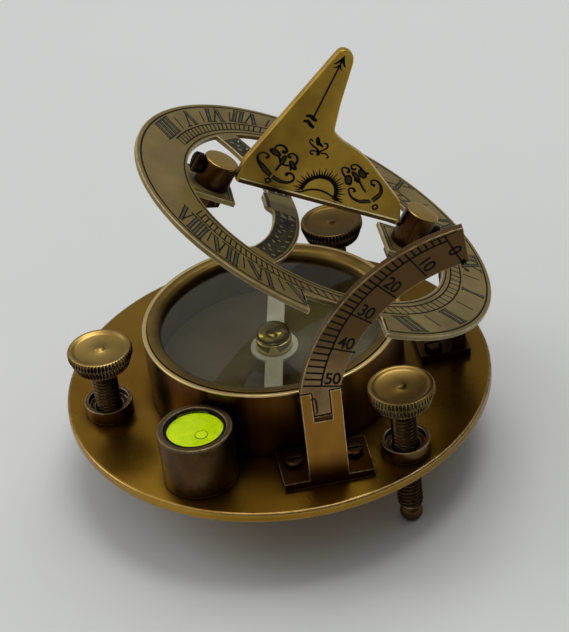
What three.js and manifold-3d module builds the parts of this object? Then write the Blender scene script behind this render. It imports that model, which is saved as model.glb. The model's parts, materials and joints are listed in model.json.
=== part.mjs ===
// Sundial compass: an equatorial sundial that folds down over a magnetic compass, on a round levelling base.
// Lengths are millimetres and +Z is up. The origin is on the floor, under the middle of the base plate.
// +X points to the noon end, where the hour ring is hinged, and -Y to the side of the latitude arc.

import * as THREE from 'three';
import { mergeVertices } from 'three/addons/utils/BufferGeometryUtils.js';
import Module from 'manifold-3d';

const wasm = await Module();
wasm.setup();

// Fits: the gap round a piece that is held in another, and how far a cutter runs past the face it cuts
const CLEARANCE = 0.3;
const FINE_CLEARANCE = 0.22;
const OVERRUN = 4;
const WELD_DISTANCE = 0.0001;

// Facets round a full turn
const LARGE_FACETS = 60;
const MEDIUM_FACETS = 26;
const SMALL_FACETS = 14;
const TINY_FACETS = 8;
const BALL_FACETS = 7;
const ARC_FACETS = 20;
const CORNER_FACETS = 4;
const NUT_SIDES = 6;

// Compass drum with its bezel, glass and dial
const DRUM_RADIUS = 30.6;
const DRUM_HEIGHT = 17.4;
const DRUM_WALL = 3;
const DRUM_LIP_WALL = 1.1;
const DRUM_FLOOR = 3;
const DRUM_BEVEL = 0.4;
const GLASS_THICKNESS = 1.2;
const BEZEL_WIDTH = 2.8;
const BEZEL_HEIGHT = 2.05;
const BEZEL_INNER_HEIGHT = 0.9;
const BEZEL_PROUD = 0.25;
const BEZEL_BEVEL = 0.3;
const DIAL_THICKNESS = 1;
const DRUM_BORE_RADIUS = DRUM_RADIUS - DRUM_WALL;
const GLASS_POCKET_RADIUS = DRUM_RADIUS - DRUM_LIP_WALL;
const GLASS_RADIUS = GLASS_POCKET_RADIUS - CLEARANCE;
const GLASS_TOP = DRUM_HEIGHT + BEZEL_PROUD - BEZEL_HEIGHT;
const GLASS_LEDGE = GLASS_TOP - GLASS_THICKNESS;

// Compass needle on its pivot, with the cap that closes the bearing
const NEEDLE_END_GAP = 4.6;
const NEEDLE_WIDTH = 4.1;
const NEEDLE_POINT_LENGTH = 3;
const NEEDLE_EYE_RADIUS = 5.5;
const NEEDLE_THICKNESS = 0.6;
const NEEDLE_AZIMUTH = 78.7;
const CAP_RADIUS = 4.2;
const CAP_HEIGHT = 4.7;
const CAP_GLASS_GAP = 0.9;
const CAP_BEVEL = 0.7;
const CAP_STEP_HEIGHT = 2.7;
const CAP_STEP_DEPTH = 0.25;
const CAP_NECK_RADIUS = 2.9;
const CAP_FLANGE_RADIUS = 3.7;
const CAP_FLANGE_HEIGHT = 0.8;
const CAP_ROOF = 1.9;
const PIVOT_RADIUS = 1.2;
const PIVOT_POINT_LENGTH = 1.4;
const PIVOT_POINT_RADIUS = 0.3;
const PIVOT_SPIGOT_RADIUS = 0.9;
const PIVOT_SPIGOT_LENGTH = 2;
const PIVOT_GAP = 0.3;
const BEARING_RADIUS = PIVOT_RADIUS + CLEARANCE;
const NEEDLE_LENGTH = 2 * (DRUM_BORE_RADIUS - NEEDLE_END_GAP);
const NEEDLE_TOP = GLASS_LEDGE - CAP_GLASS_GAP - CAP_HEIGHT;
const NEEDLE_HEIGHT = NEEDLE_TOP - NEEDLE_THICKNESS;

// Screws that hold the drum and the level cup from under the plate
const UNDER_SCREW_RADIUS = 1.1;
const UNDER_HEAD_RADIUS = 2.4;
const UNDER_HEAD_HEIGHT = 1.2;
const UNDER_SCREW_GRIP = 1.9;
const DRUM_SCREW_INSET = 7.6;
const DRUM_SCREW_COUNT = 3;
const DRUM_SCREW_TURN = 30;
const DRUM_SCREW_CIRCLE = DRUM_BORE_RADIUS - DRUM_SCREW_INSET;
const SLOT_WIDTH = 0.7;
const SLOT_DEPTH = 0.6;
const HEAD_BEVEL = 0.35;

// Levelling screws: threaded boss, screw, knurled knob and ball-ended foot
const SCREW_RADIUS = 3.05;
const BOSS_RADIUS = 5.7;
const BOSS_HEIGHT = 3.5;
const BOSS_RIM = 0.8;
const BOSS_RECESS = 1.5;
const BOSS_SPIGOT_RADIUS = 4.2;
const KNOB_RADIUS = 7.67;
const KNOB_HEIGHT = 4.9;
const KNOB_TOP = 18.7;
const KNURLED_HEIGHT = 2;
const KNOB_GROOVE_HEIGHT = 0.4;
const KNOB_GROOVE_DEPTH = 0.65;
const KNOB_SHOULDER_RADIUS = 7.3;
const KNOB_BASE_RADIUS = 6.3;
const KNOB_DISH_RADIUS = 6.2;
const KNOB_DISH_DEPTH = 0.5;
const KNOB_CENTRE_RADIUS = 1.1;
const KNOB_BEVEL = 0.35;
const KNURL_COUNT = 32;
const KNURL_DEPTH = 0.4;
const KNOB_SPIGOT_RADIUS = 2.4;
const KNOB_SPIGOT_LENGTH = 3.1;
const FOOT_BALL_RADIUS = 2.7;
const FOOT_FLAT_RADIUS = 0.9;
const FOOT_NECK_RADIUS = 2.3;
const FOOT_HEIGHT = 5.1;
const FOOT_PIN_RADIUS = 1.3;
const FOOT_PIN_LENGTH = 2;
const KNOB_BOTTOM = KNOB_TOP - KNOB_HEIGHT;

// Base plate: its rim leaves room for a knob and a margin beside the drum
const PLATE_MARGIN = 5.06;
const PLATE_THICKNESS = 2.6;
const PLATE_BEVEL = 0.6;
const STAND_HEIGHT = 18;
const PLATE_RADIUS = DRUM_RADIUS + 2 * KNOB_RADIUS + PLATE_MARGIN;
const PLATE_TOP = STAND_HEIGHT + PLATE_THICKNESS;
const SCREW_BOTTOM = FOOT_HEIGHT - PLATE_TOP;

// Bubble level
const LEVEL_AZIMUTH = 233.94;
const LEVEL_GAP = 0.33;
const CUP_RADIUS = 8.65;
const CUP_HEIGHT = 12.8;
const CUP_WALL = 1.75;
const CUP_FLOOR = 4.8;
const CUP_BEVEL = 0.5;
const VIAL_RECESS = 0.6;
const VIAL_WALL = 0.7;
const VIAL_BEVEL = 0.25;
const VIAL_ROOF = 0.9;
const VIAL_RADIUS = CUP_RADIUS - CUP_WALL - CLEARANCE;
const VIAL_TOP = CUP_HEIGHT - VIAL_RECESS;
const LEVEL_CIRCLE = DRUM_RADIUS + LEVEL_GAP + CUP_RADIUS;

// Hinge of the hour ring
const HINGE_RISE = 0.9;
const HINGE_FOOT_GAP = 3.4;
const HINGE_PIN_RADIUS = 0.9;
const HINGE_PIN_HEAD_RADIUS = 1.5;
const HINGE_PIN_HEAD_LENGTH = 0.6;
const EAR_HALF_DEPTH = 1.8;
const EAR_HALF_SPAN = 5;
const EAR_GAP_HALF = 2.9;
const EAR_SLOT_DROP = 3.8;
const HINGE_FOOT_BACK = 9.4;
const HINGE_FOOT_FRONT = 2.6;
const HINGE_FOOT_HALF_WIDTH = 6;
const HINGE_FOOT_THICKNESS = 2;
const HINGE_SCREW_BACK = 6;
const HINGE_SCREW_HALF_SPACING = 3.4;
const KNUCKLE_RADIUS = 2.4;
const HINGE_X = DRUM_RADIUS + HINGE_FOOT_GAP + HINGE_FOOT_BACK;
const HINGE_HEIGHT = DRUM_HEIGHT + HINGE_RISE;
const LEAF_HALF_LENGTH = 4;
const LEAF_HALF_WIDTH = 6.2;
const LEAF_THICKNESS = 1.2;
const RIVET_RADIUS = 0.8;
const RIVET_HALF_SPACING = 4.5;
const RIVET_HEAD_RADIUS = 1.4;
const RIVET_HEAD_HEIGHT = 0.6;

// Latitude arc and the bent strip that carries it
const STRIP_GAP = 0.4;
const STRIP_WIDTH = 9;
const STRIP_HEIGHT = 26;
const STRIP_THICKNESS = 1.9;
const STRIP_FOOT_WIDTH = 20.8;
const STRIP_FOOT_DEPTH = 12.4;
const STRIP_BEND_RADIUS = 1.2;
const STRIP_SLOT_WIDTH = 4.3;
const STRIP_SLOT_DEPTH = 8;
const STRIP_SCREW_SPACING = 13.8;
const STRIP_SCREW_SETBACK = 5.95;
const ARC_PIN_RADIUS = 0.4;
const ARC_PIN_DROP = 2;
const ARC_PIN_PROUD = 0.5;
const ARC_THICKNESS = 1.9;
const ARC_OUTER_RADIUS = 44.15;
const ARC_WIDTH = 8.95;
const ARC_TOP_ANGLE = 83.5;
const ARC_TONGUE_REACH = 4.2;
const ARC_INNER_RADIUS = ARC_OUTER_RADIUS - ARC_WIDTH;
const ARC_FOOT_RISE = STRIP_HEIGHT + CLEARANCE - HINGE_HEIGHT;
const STRIP_CENTRE_X = HINGE_X - Math.sqrt((ARC_OUTER_RADIUS - ARC_WIDTH / 2) ** 2 - ARC_FOOT_RISE ** 2);
const ARC_PLANE_Y = STRIP_THICKNESS / 2 - DRUM_RADIUS - STRIP_GAP - STRIP_FOOT_DEPTH;

// Places of the levelling screws: the near one stands beside the strip's foot
const NEAR_BOSS_GAP = 2.8;
const NEAR_BOSS_X = STRIP_CENTRE_X + STRIP_FOOT_WIDTH / 2 + NEAR_BOSS_GAP + BOSS_RADIUS;
const FOOT_PLACES = [
  { side: 'morning', gapShare: 0.55, azimuth: 182.8 },
  { side: 'near', gapShare: 1, x: NEAR_BOSS_X },
  { side: 'far', gapShare: 0.308, azimuth: 58.1 },
];

// Screws of the two brackets
const BRACKET_SCREW_RADIUS = 1.1;
const BRACKET_HEAD_RADIUS = 2.1;
const BRACKET_HEAD_HEIGHT = 1.6;

// Hour ring
const RING_TILT = 30.42;
const RING_OUTER_RADIUS = 44.8;
const RING_INNER_RADIUS = 32.2;
const RING_THICKNESS = 1.2;
const RING_LIFT = 6.2;
const NOTCH_MORNING_GAP = 4.85;
const NOTCH_NOON_GAP = 4.7;
const NOTCH_SIDE_GAP = 4;
const RING_OFFSET = (RING_INNER_RADIUS + RING_OUTER_RADIUS) / 2;
const NOTCH_MORNING_X = RING_OFFSET - ARC_OUTER_RADIUS - NOTCH_MORNING_GAP;
const NOTCH_NOON_X = RING_OFFSET - ARC_INNER_RADIUS + NOTCH_NOON_GAP;
const NOTCH_FLOOR_Y = ARC_PLANE_Y + ARC_THICKNESS / 2 + NOTCH_SIDE_GAP;
const WEB_MIDDLE_X = -9.2;
const WEB_RADIUS = 37;
const WEB_WIDTH = 8.2;
const TAB_HALF_WIDTH = 6.2;
const MORNING_TAB_OVERHANG = 5.1;
const NOON_TAB_OVERHANG = 6.1;

// Gnomon, its posts, nuts and pivot screws
const POST_RADIUS = 4.05;
const POST_HEIGHT = 7.6;
const POST_BEVEL = 0.4;
const POST_SPIGOT_RADIUS = 1.9;
const POST_SPIGOT_PROUD = 0.5;
const NUT_ACROSS_FLATS = 7;
const NUT_HEIGHT = 3;
const PIVOT_HEIGHT = 4;
const PIVOT_SCREW_RADIUS = 1.1;
const PIVOT_HEAD_RADIUS = 2.4;
const PIVOT_HEAD_HEIGHT = 1.8;
const PIVOT_TIP_RADIUS = 0.4;
const PIVOT_TIP_REACH = 2;
const GNOMON_THICKNESS = 2;
const GNOMON_MORNING_SHARE = 0.54;
const GNOMON_LENGTH = 41.3;
const GNOMON_HEIGHT = 38.6;
const GNOMON_END_GAP = 0.4;
const GNOMON_FOOT_GAP = 2.6;
const GNOMON_CORNER_RADIUS = 0.9;
const GNOMON_MORNING_X = -GNOMON_MORNING_SHARE * GNOMON_LENGTH;
const GNOMON_NOON_X = GNOMON_MORNING_X + GNOMON_LENGTH;
const MORNING_POST_X = GNOMON_MORNING_X - GNOMON_END_GAP - POST_RADIUS;
const NOON_POST_X = GNOMON_NOON_X + GNOMON_END_GAP + POST_RADIUS;

// The gnomon's outline, as shares of its length and of its height, from the morning end of its foot
const GNOMON_OUTLINE_SHARES = [
  [0, 0],
  [1, 0],
  [0.995, 0.06],
  [0.949, 0.187],
  [0.666, 0.378],
  [0.596, 0.412],
  [0.475, 0.446],
  [0.397, 0.49],
  [0.356, 0.668],
  [0.312, 0.94],
  [0.293, 0.987],
  [0.245, 1],
  [0.211, 0.984],
  [0, 0.14],
];

const QUARTER_TURN = Math.PI / 2;
const radians = (degrees) => THREE.MathUtils.degToRad(degrees);

// Surface colours of the object's own finishes
const FINISHES = {
  agedBrass: { color: 0x7d5f2c, roughness: 0.38, metalness: 0.9 },
  polishedBrass: { color: 0xa98a34, roughness: 0.3, metalness: 0.9 },
  ringBrass: { color: 0x8f7a52, roughness: 0.45, metalness: 0.85 },
  darkBrass: { color: 0x5d4526, roughness: 0.42, metalness: 0.85 },
  steel: { color: 0xc9c8bf, roughness: 0.3, metalness: 0.6 },
  dialFace: { color: 0x3b3d31, roughness: 0.7, metalness: 0.1 },
  clearGlass: { color: 0xe8efe8, roughness: 0.05, metalness: 0, transparent: true, opacity: 0.25 },
  levelLiquid: { color: 0xb4e01c, roughness: 0.15, metalness: 0 },
};

// A geometry with only positions, one vertex per corner, no collapsed faces, and its faces pointing out
function closedGeometry(geometry) {
  const bare = new THREE.BufferGeometry();
  bare.setAttribute('position', geometry.getAttribute('position').clone());
  bare.setIndex(geometry.getIndex());
  const merged = mergeVertices(bare, WELD_DISTANCE);
  const corners = merged.getIndex().array;
  const faces = [];
  for (let i = 0; i < corners.length; i += 3) {
    const [a, b, c] = [corners[i], corners[i + 1], corners[i + 2]];
    if (a !== b && b !== c && c !== a) {
      faces.push([a, b, c]);
    }
  }
  const outward = enclosedVolume(merged, faces) > 0;
  merged.setIndex(faces.flatMap(([a, b, c]) => (outward ? [a, b, c] : [a, c, b])));
  merged.computeVertexNormals();
  return merged;
}

// Six times the volume inside the faces, negative where they point inwards
function enclosedVolume(geometry, faces) {
  const positions = geometry.getAttribute('position');
  const [p, q, r] = [new THREE.Vector3(), new THREE.Vector3(), new THREE.Vector3()];
  let volume = 0;
  for (const [a, b, c] of faces) {
    p.fromBufferAttribute(positions, a);
    q.fromBufferAttribute(positions, b);
    r.fromBufferAttribute(positions, c);
    volume += p.dot(q.cross(r));
  }
  return volume;
}

function toSolid(geometry) {
  const closed = closedGeometry(geometry);
  return new wasm.Manifold(new wasm.Mesh({
    numProp: 3,
    vertProperties: new Float32Array(closed.getAttribute('position').array),
    triVerts: new Uint32Array(closed.getIndex().array),
  }));
}

function fromSolid(solid) {
  const mesh = solid.getMesh();
  const geometry = new THREE.BufferGeometry();
  geometry.setAttribute('position', new THREE.BufferAttribute(mesh.vertProperties, 3));
  geometry.setIndex(new THREE.BufferAttribute(mesh.triVerts, 1));
  return geometry;
}

function joined(...geometries) {
  return fromSolid(geometries.map(toSolid).reduce((whole, solid) => whole.add(solid)));
}

function cut(body, ...cutters) {
  return fromSolid(cutters.map(toSolid).reduce((rest, cutter) => rest.subtract(cutter), toSolid(body)));
}

// A turned shape: [radius, height] points carried round +Z, closed on the axis or on themselves
function turned(profile, facets) {
  const points = profile.map(([radius, height]) => new THREE.Vector2(radius, height));
  return new THREE.LatheGeometry(points, facets).rotateX(QUARTER_TURN);
}

function rod(radius, bottom, top, facets) {
  return turned([[0, bottom], [radius, bottom], [radius, top], [0, top]], facets);
}

function turnedRing(innerRadius, outerRadius, bottom, top, facets) {
  const corners = [[innerRadius, bottom], [outerRadius, bottom], [outerRadius, top], [innerRadius, top]];
  return turned([...corners, corners[0]], facets);
}

function block([x0, x1], [y0, y1], [z0, z1]) {
  const box = new THREE.BoxGeometry(x1 - x0, y1 - y0, z1 - z0);
  return box.translate((x0 + x1) / 2, (y0 + y1) / 2, (z0 + z1) / 2);
}

// An outline drawn in the XZ plane and given a thickness, centred on y = 0
function uprightSheet(shape, thickness, curveSegments) {
  const sheet = new THREE.ExtrudeGeometry(shape, { depth: thickness, bevelEnabled: false, curveSegments });
  return sheet.rotateX(QUARTER_TURN).translate(0, thickness / 2, 0);
}

// A rod along +X or +Y instead of +Z
const alongX = (geometry) => geometry.rotateY(QUARTER_TURN);
const alongY = (geometry) => geometry.rotateX(-QUARTER_TURN);

// A slotted screw along +Z: its head sits on z = 0 and its shank goes down
function slottedScrew({ shankRadius, shankLength, headRadius, headHeight }) {
  const screw = turned([
    [0, -shankLength],
    [shankRadius, -shankLength],
    [shankRadius, 0],
    [headRadius, 0],
    [headRadius, headHeight - HEAD_BEVEL],
    [headRadius - HEAD_BEVEL, headHeight],
    [0, headHeight],
  ], SMALL_FACETS);
  const reach = headRadius + OVERRUN;
  const slot = block(
    [-reach, reach],
    [-SLOT_WIDTH / 2, SLOT_WIDTH / 2],
    [headHeight - SLOT_DEPTH, headHeight + OVERRUN],
  );
  return cut(screw, slot);
}

function addPiece(parent, name, geometry, finish) {
  const mesh = new THREE.Mesh(closedGeometry(geometry), new THREE.MeshStandardMaterial(FINISHES[finish]));
  mesh.name = name;
  parent.add(mesh);
  return mesh;
}

function addGroup(parent, x, y, z) {
  const group = new THREE.Group();
  group.position.set(x, y, z);
  parent.add(group);
  return group;
}

const onCircle = (radius, azimuth) => ({
  x: radius * Math.cos(radians(azimuth)),
  y: radius * Math.sin(radians(azimuth)),
});

const footCentres = FOOT_PLACES.map(({ side, gapShare, azimuth, x }) => {
  const radius = DRUM_RADIUS + KNOB_RADIUS + gapShare * PLATE_MARGIN;
  if (azimuth === undefined) {
    return { side, x, y: -Math.sqrt(radius ** 2 - x ** 2) };
  }
  return { side, ...onCircle(radius, azimuth) };
});

const levelCentre = onCircle(LEVEL_CIRCLE, LEVEL_AZIMUTH);

const drumScrewCentres = Array.from({ length: DRUM_SCREW_COUNT }, (_, i) => (
  onCircle(DRUM_SCREW_CIRCLE, DRUM_SCREW_TURN + (360 * i) / DRUM_SCREW_COUNT)
));

const stripScrewCentres = [-1, 1].map((side) => ({
  x: STRIP_CENTRE_X + (side * STRIP_SCREW_SPACING) / 2,
  y: ARC_PLANE_Y + STRIP_SCREW_SETBACK,
}));

const hingeScrewCentres = [-1, 1].map((side) => ({
  x: HINGE_X - HINGE_SCREW_BACK,
  y: side * HINGE_SCREW_HALF_SPACING,
}));

const model = new THREE.Group();
const onPlate = addGroup(model, 0, 0, PLATE_TOP);

// The base plate is a disc with bevelled edges, bored for the bosses and for every screw
function basePlate() {
  const disc = turned([
    [0, -PLATE_THICKNESS],
    [PLATE_RADIUS - PLATE_BEVEL, -PLATE_THICKNESS],
    [PLATE_RADIUS, PLATE_BEVEL - PLATE_THICKNESS],
    [PLATE_RADIUS, -PLATE_BEVEL],
    [PLATE_RADIUS - PLATE_BEVEL, 0],
    [0, 0],
  ], LARGE_FACETS);
  const bore = (radius, facets) => ({ x, y }) => (
    rod(radius, -PLATE_THICKNESS - OVERRUN, OVERRUN, facets).translate(x, y, 0)
  );
  const underScrewCentres = [...drumScrewCentres, levelCentre];
  const bracketScrewCentres = [...stripScrewCentres, ...hingeScrewCentres];
  return cut(
    disc,
    ...footCentres.map(bore(BOSS_SPIGOT_RADIUS + CLEARANCE, SMALL_FACETS)),
    ...underScrewCentres.map(bore(UNDER_SCREW_RADIUS + CLEARANCE, TINY_FACETS)),
    ...bracketScrewCentres.map(bore(BRACKET_SCREW_RADIUS + CLEARANCE, TINY_FACETS)),
  );
}
addPiece(onPlate, 'base_plate', basePlate(), 'agedBrass');

// The drum is one turned cup: floor, wall, the ledge that the glass lies on and a thin lip round the bezel
function compassDrum() {
  const cup = turned([
    [0, 0],
    [DRUM_RADIUS, 0],
    [DRUM_RADIUS, DRUM_HEIGHT - DRUM_BEVEL],
    [DRUM_RADIUS - DRUM_BEVEL, DRUM_HEIGHT],
    [GLASS_POCKET_RADIUS, DRUM_HEIGHT],
    [GLASS_POCKET_RADIUS, GLASS_LEDGE],
    [DRUM_BORE_RADIUS, GLASS_LEDGE],
    [DRUM_BORE_RADIUS, DRUM_FLOOR],
    [0, DRUM_FLOOR],
  ], LARGE_FACETS);
  const screwHole = ({ x, y }) => (
    rod(UNDER_SCREW_RADIUS + CLEARANCE, -OVERRUN, UNDER_SCREW_GRIP + CLEARANCE, TINY_FACETS)
      .translate(x, y, 0)
  );
  const pivotHole = rod(
    PIVOT_SPIGOT_RADIUS + CLEARANCE,
    DRUM_FLOOR - PIVOT_SPIGOT_LENGTH - CLEARANCE,
    DRUM_FLOOR + OVERRUN,
    SMALL_FACETS,
  );
  return cut(cup, ...drumScrewCentres.map(screwHole), pivotHole);
}
addPiece(onPlate, 'compass_drum', compassDrum(), 'agedBrass');

addPiece(
  onPlate,
  'compass_dial',
  turnedRing(
    PIVOT_RADIUS + CLEARANCE,
    DRUM_BORE_RADIUS - CLEARANCE,
    DRUM_FLOOR,
    DRUM_FLOOR + DIAL_THICKNESS,
    LARGE_FACETS,
  ),
  'dialFace',
);
addPiece(onPlate, 'compass_glass', rod(GLASS_RADIUS, GLASS_LEDGE, GLASS_TOP, LARGE_FACETS), 'clearGlass');

// The bezel's top falls inwards to a thin edge over the glass
function bezelRing() {
  const innerRadius = GLASS_RADIUS - BEZEL_WIDTH;
  const profile = [
    [innerRadius, 0],
    [GLASS_RADIUS, 0],
    [GLASS_RADIUS, BEZEL_HEIGHT - BEZEL_BEVEL],
    [GLASS_RADIUS - BEZEL_BEVEL, BEZEL_HEIGHT],
    [innerRadius, BEZEL_INNER_HEIGHT],
  ];
  return turned([...profile, profile[0]], LARGE_FACETS).translate(0, 0, GLASS_TOP);
}
addPiece(onPlate, 'bezel_ring', bezelRing(), 'agedBrass');

// The needle's cap turns on the pivot pin, whose point reaches up inside it
const bearingRoof = NEEDLE_TOP + CAP_HEIGHT - CAP_ROOF;

function pivotPin() {
  const pointTop = bearingRoof - PIVOT_GAP;
  return turned([
    [0, DRUM_FLOOR - PIVOT_SPIGOT_LENGTH],
    [PIVOT_SPIGOT_RADIUS, DRUM_FLOOR - PIVOT_SPIGOT_LENGTH],
    [PIVOT_SPIGOT_RADIUS, DRUM_FLOOR],
    [PIVOT_RADIUS, DRUM_FLOOR],
    [PIVOT_RADIUS, pointTop - PIVOT_POINT_LENGTH],
    [PIVOT_POINT_RADIUS, pointTop],
    [0, pointTop],
  ], SMALL_FACETS);
}
addPiece(onPlate, 'pivot_pin', pivotPin(), 'darkBrass');

// The bar and its round eye are cut from one flat strip
function compassNeedle() {
  const halfLength = NEEDLE_LENGTH / 2;
  const halfWidth = NEEDLE_WIDTH / 2;
  const bar = new THREE.Shape([
    new THREE.Vector2(-halfLength, 0),
    new THREE.Vector2(NEEDLE_POINT_LENGTH - halfLength, -halfWidth),
    new THREE.Vector2(halfLength - NEEDLE_POINT_LENGTH, -halfWidth),
    new THREE.Vector2(halfLength, 0),
    new THREE.Vector2(halfLength - NEEDLE_POINT_LENGTH, halfWidth),
    new THREE.Vector2(NEEDLE_POINT_LENGTH - halfLength, halfWidth),
  ]);
  const strip = new THREE.ExtrudeGeometry(bar, { depth: NEEDLE_THICKNESS, bevelEnabled: false });
  return cut(
    joined(strip, rod(NEEDLE_EYE_RADIUS, 0, NEEDLE_THICKNESS, MEDIUM_FACETS)),
    rod(CAP_NECK_RADIUS + CLEARANCE, -OVERRUN, NEEDLE_THICKNESS + OVERRUN, MEDIUM_FACETS),
  ).translate(0, 0, NEEDLE_HEIGHT);
}
addPiece(onPlate, 'compass_needle', compassNeedle(), 'steel').rotation.z = radians(NEEDLE_AZIMUTH);

function needleCap() {
  const stepHeight = NEEDLE_TOP + CAP_STEP_HEIGHT;
  const top = NEEDLE_TOP + CAP_HEIGHT;
  const bottom = NEEDLE_HEIGHT - CAP_FLANGE_HEIGHT;
  return turned([
    [0, bearingRoof],
    [BEARING_RADIUS, bearingRoof],
    [BEARING_RADIUS, bottom],
    [CAP_FLANGE_RADIUS, bottom],
    [CAP_FLANGE_RADIUS, NEEDLE_HEIGHT],
    [CAP_NECK_RADIUS, NEEDLE_HEIGHT],
    [CAP_NECK_RADIUS, NEEDLE_TOP],
    [CAP_RADIUS, NEEDLE_TOP],
    [CAP_RADIUS, stepHeight - CAP_STEP_DEPTH],
    [CAP_RADIUS - CAP_STEP_DEPTH, stepHeight],
    [CAP_RADIUS, stepHeight + CAP_STEP_DEPTH],
    [CAP_RADIUS, top - CAP_BEVEL],
    [CAP_RADIUS - CAP_BEVEL, top],
    [0, top],
  ], MEDIUM_FACETS);
}
addPiece(onPlate, 'needle_cap', needleCap(), 'polishedBrass');

// The screws under the plate point upwards, so each is a slotted screw turned over
function underScrew(name, { x, y }) {
  const screw = slottedScrew({
    shankRadius: UNDER_SCREW_RADIUS,
    shankLength: PLATE_THICKNESS + UNDER_SCREW_GRIP,
    headRadius: UNDER_HEAD_RADIUS,
    headHeight: UNDER_HEAD_HEIGHT,
  });
  const mesh = addPiece(onPlate, name, screw.rotateX(2 * QUARTER_TURN), 'darkBrass');
  mesh.position.set(x, y, -PLATE_THICKNESS);
}
drumScrewCentres.forEach((centre, i) => underScrew(`drum_screw_${i + 1}`, centre));
underScrew('cup_screw', levelCentre);

// The boss is a flanged bush: its spigot fills the plate's hole and its top is recessed inside a thin rim
function levelBoss() {
  const bore = SCREW_RADIUS + CLEARANCE;
  const profile = [
    [bore, -PLATE_THICKNESS],
    [BOSS_SPIGOT_RADIUS, -PLATE_THICKNESS],
    [BOSS_SPIGOT_RADIUS, 0],
    [BOSS_RADIUS, 0],
    [BOSS_RADIUS, BOSS_HEIGHT],
    [BOSS_RADIUS - BOSS_RIM, BOSS_HEIGHT],
    [BOSS_RADIUS - BOSS_RIM, BOSS_HEIGHT - BOSS_RECESS],
    [bore, BOSS_HEIGHT - BOSS_RECESS],
  ];
  return turned([...profile, profile[0]], MEDIUM_FACETS);
}

// The screw's plain ends: a spigot up into the knob and a pin down into the foot
function levellingScrew() {
  return turned([
    [0, SCREW_BOTTOM - FOOT_PIN_LENGTH],
    [FOOT_PIN_RADIUS, SCREW_BOTTOM - FOOT_PIN_LENGTH],
    [FOOT_PIN_RADIUS, SCREW_BOTTOM],
    [SCREW_RADIUS, SCREW_BOTTOM],
    [SCREW_RADIUS, KNOB_BOTTOM],
    [KNOB_SPIGOT_RADIUS, KNOB_BOTTOM],
    [KNOB_SPIGOT_RADIUS, KNOB_BOTTOM + KNOB_SPIGOT_LENGTH],
    [0, KNOB_BOTTOM + KNOB_SPIGOT_LENGTH],
  ], SMALL_FACETS);
}

// The knob has a knurled upper tier with a shallow dish and a raised centre, a groove and a plain lower tier
function thumbKnob() {
  const knurlBottom = KNOB_TOP - KNURLED_HEIGHT;
  const grooveBottom = knurlBottom - KNOB_GROOVE_HEIGHT;
  const bore = KNOB_SPIGOT_RADIUS + CLEARANCE;
  const boreTop = KNOB_BOTTOM + KNOB_SPIGOT_LENGTH + CLEARANCE;
  const grooveRadius = KNOB_RADIUS - KNOB_GROOVE_DEPTH;
  const body = turned([
    [0, boreTop],
    [bore, boreTop],
    [bore, KNOB_BOTTOM],
    [KNOB_BASE_RADIUS, KNOB_BOTTOM],
    [KNOB_SHOULDER_RADIUS, grooveBottom],
    [grooveRadius, grooveBottom],
    [grooveRadius, KNOB_TOP],
    [KNOB_DISH_RADIUS, KNOB_TOP],
    [KNOB_DISH_RADIUS - KNOB_DISH_DEPTH, KNOB_TOP - KNOB_DISH_DEPTH],
    [KNOB_CENTRE_RADIUS, KNOB_TOP - KNOB_DISH_DEPTH],
    [0, KNOB_TOP],
  ], MEDIUM_FACETS);
  const teeth = Array.from({ length: 2 * KNURL_COUNT }, (_, i) => {
    const radius = KNOB_RADIUS - (i % 2) * KNURL_DEPTH;
    const angle = (Math.PI * i) / KNURL_COUNT;
    return new THREE.Vector2(radius * Math.cos(angle), radius * Math.sin(angle));
  });
  const knurl = new THREE.ExtrudeGeometry(new THREE.Shape(teeth), {
    depth: KNURLED_HEIGHT - KNOB_BEVEL,
    bevelEnabled: false,
  }).translate(0, 0, knurlBottom);
  const dish = rod(KNOB_DISH_RADIUS, knurlBottom - OVERRUN, KNOB_TOP + OVERRUN, MEDIUM_FACETS);
  return joined(body, cut(knurl, dish));
}

// The foot is a ball with a small flat under it and a neck whose socket takes the screw's pin
function footTip() {
  const ballCentre = Math.sqrt(FOOT_BALL_RADIUS ** 2 - FOOT_FLAT_RADIUS ** 2);
  const lowest = -Math.acos(FOOT_FLAT_RADIUS / FOOT_BALL_RADIUS);
  const highest = Math.acos(FOOT_NECK_RADIUS / FOOT_BALL_RADIUS);
  const ball = Array.from({ length: BALL_FACETS + 1 }, (_, i) => {
    const latitude = lowest + ((highest - lowest) * i) / BALL_FACETS;
    return [FOOT_BALL_RADIUS * Math.cos(latitude), ballCentre + FOOT_BALL_RADIUS * Math.sin(latitude)];
  });
  const socketRadius = FOOT_PIN_RADIUS + CLEARANCE;
  const socketFloor = FOOT_HEIGHT - FOOT_PIN_LENGTH - CLEARANCE;
  return turned([
    [0, 0],
    [ball[0][0], 0],
    ...ball.slice(1),
    [FOOT_NECK_RADIUS, FOOT_HEIGHT],
    [socketRadius, FOOT_HEIGHT],
    [socketRadius, socketFloor],
    [0, socketFloor],
  ], SMALL_FACETS).translate(0, 0, -PLATE_TOP);
}

for (const { side, x, y } of footCentres) {
  const corner = addGroup(onPlate, x, y, 0);
  addPiece(corner, `level_boss_${side}`, levelBoss(), 'agedBrass');
  addPiece(corner, `levelling_screw_${side}`, levellingScrew(), 'agedBrass');
  addPiece(corner, `thumb_knob_${side}`, thumbKnob(), 'agedBrass');
  addPiece(corner, `foot_tip_${side}`, footTip(), 'agedBrass');
}

// Bubble level: a round glass cell full of liquid, standing in a turned cup
const level = addGroup(onPlate, levelCentre.x, levelCentre.y, 0);

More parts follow.
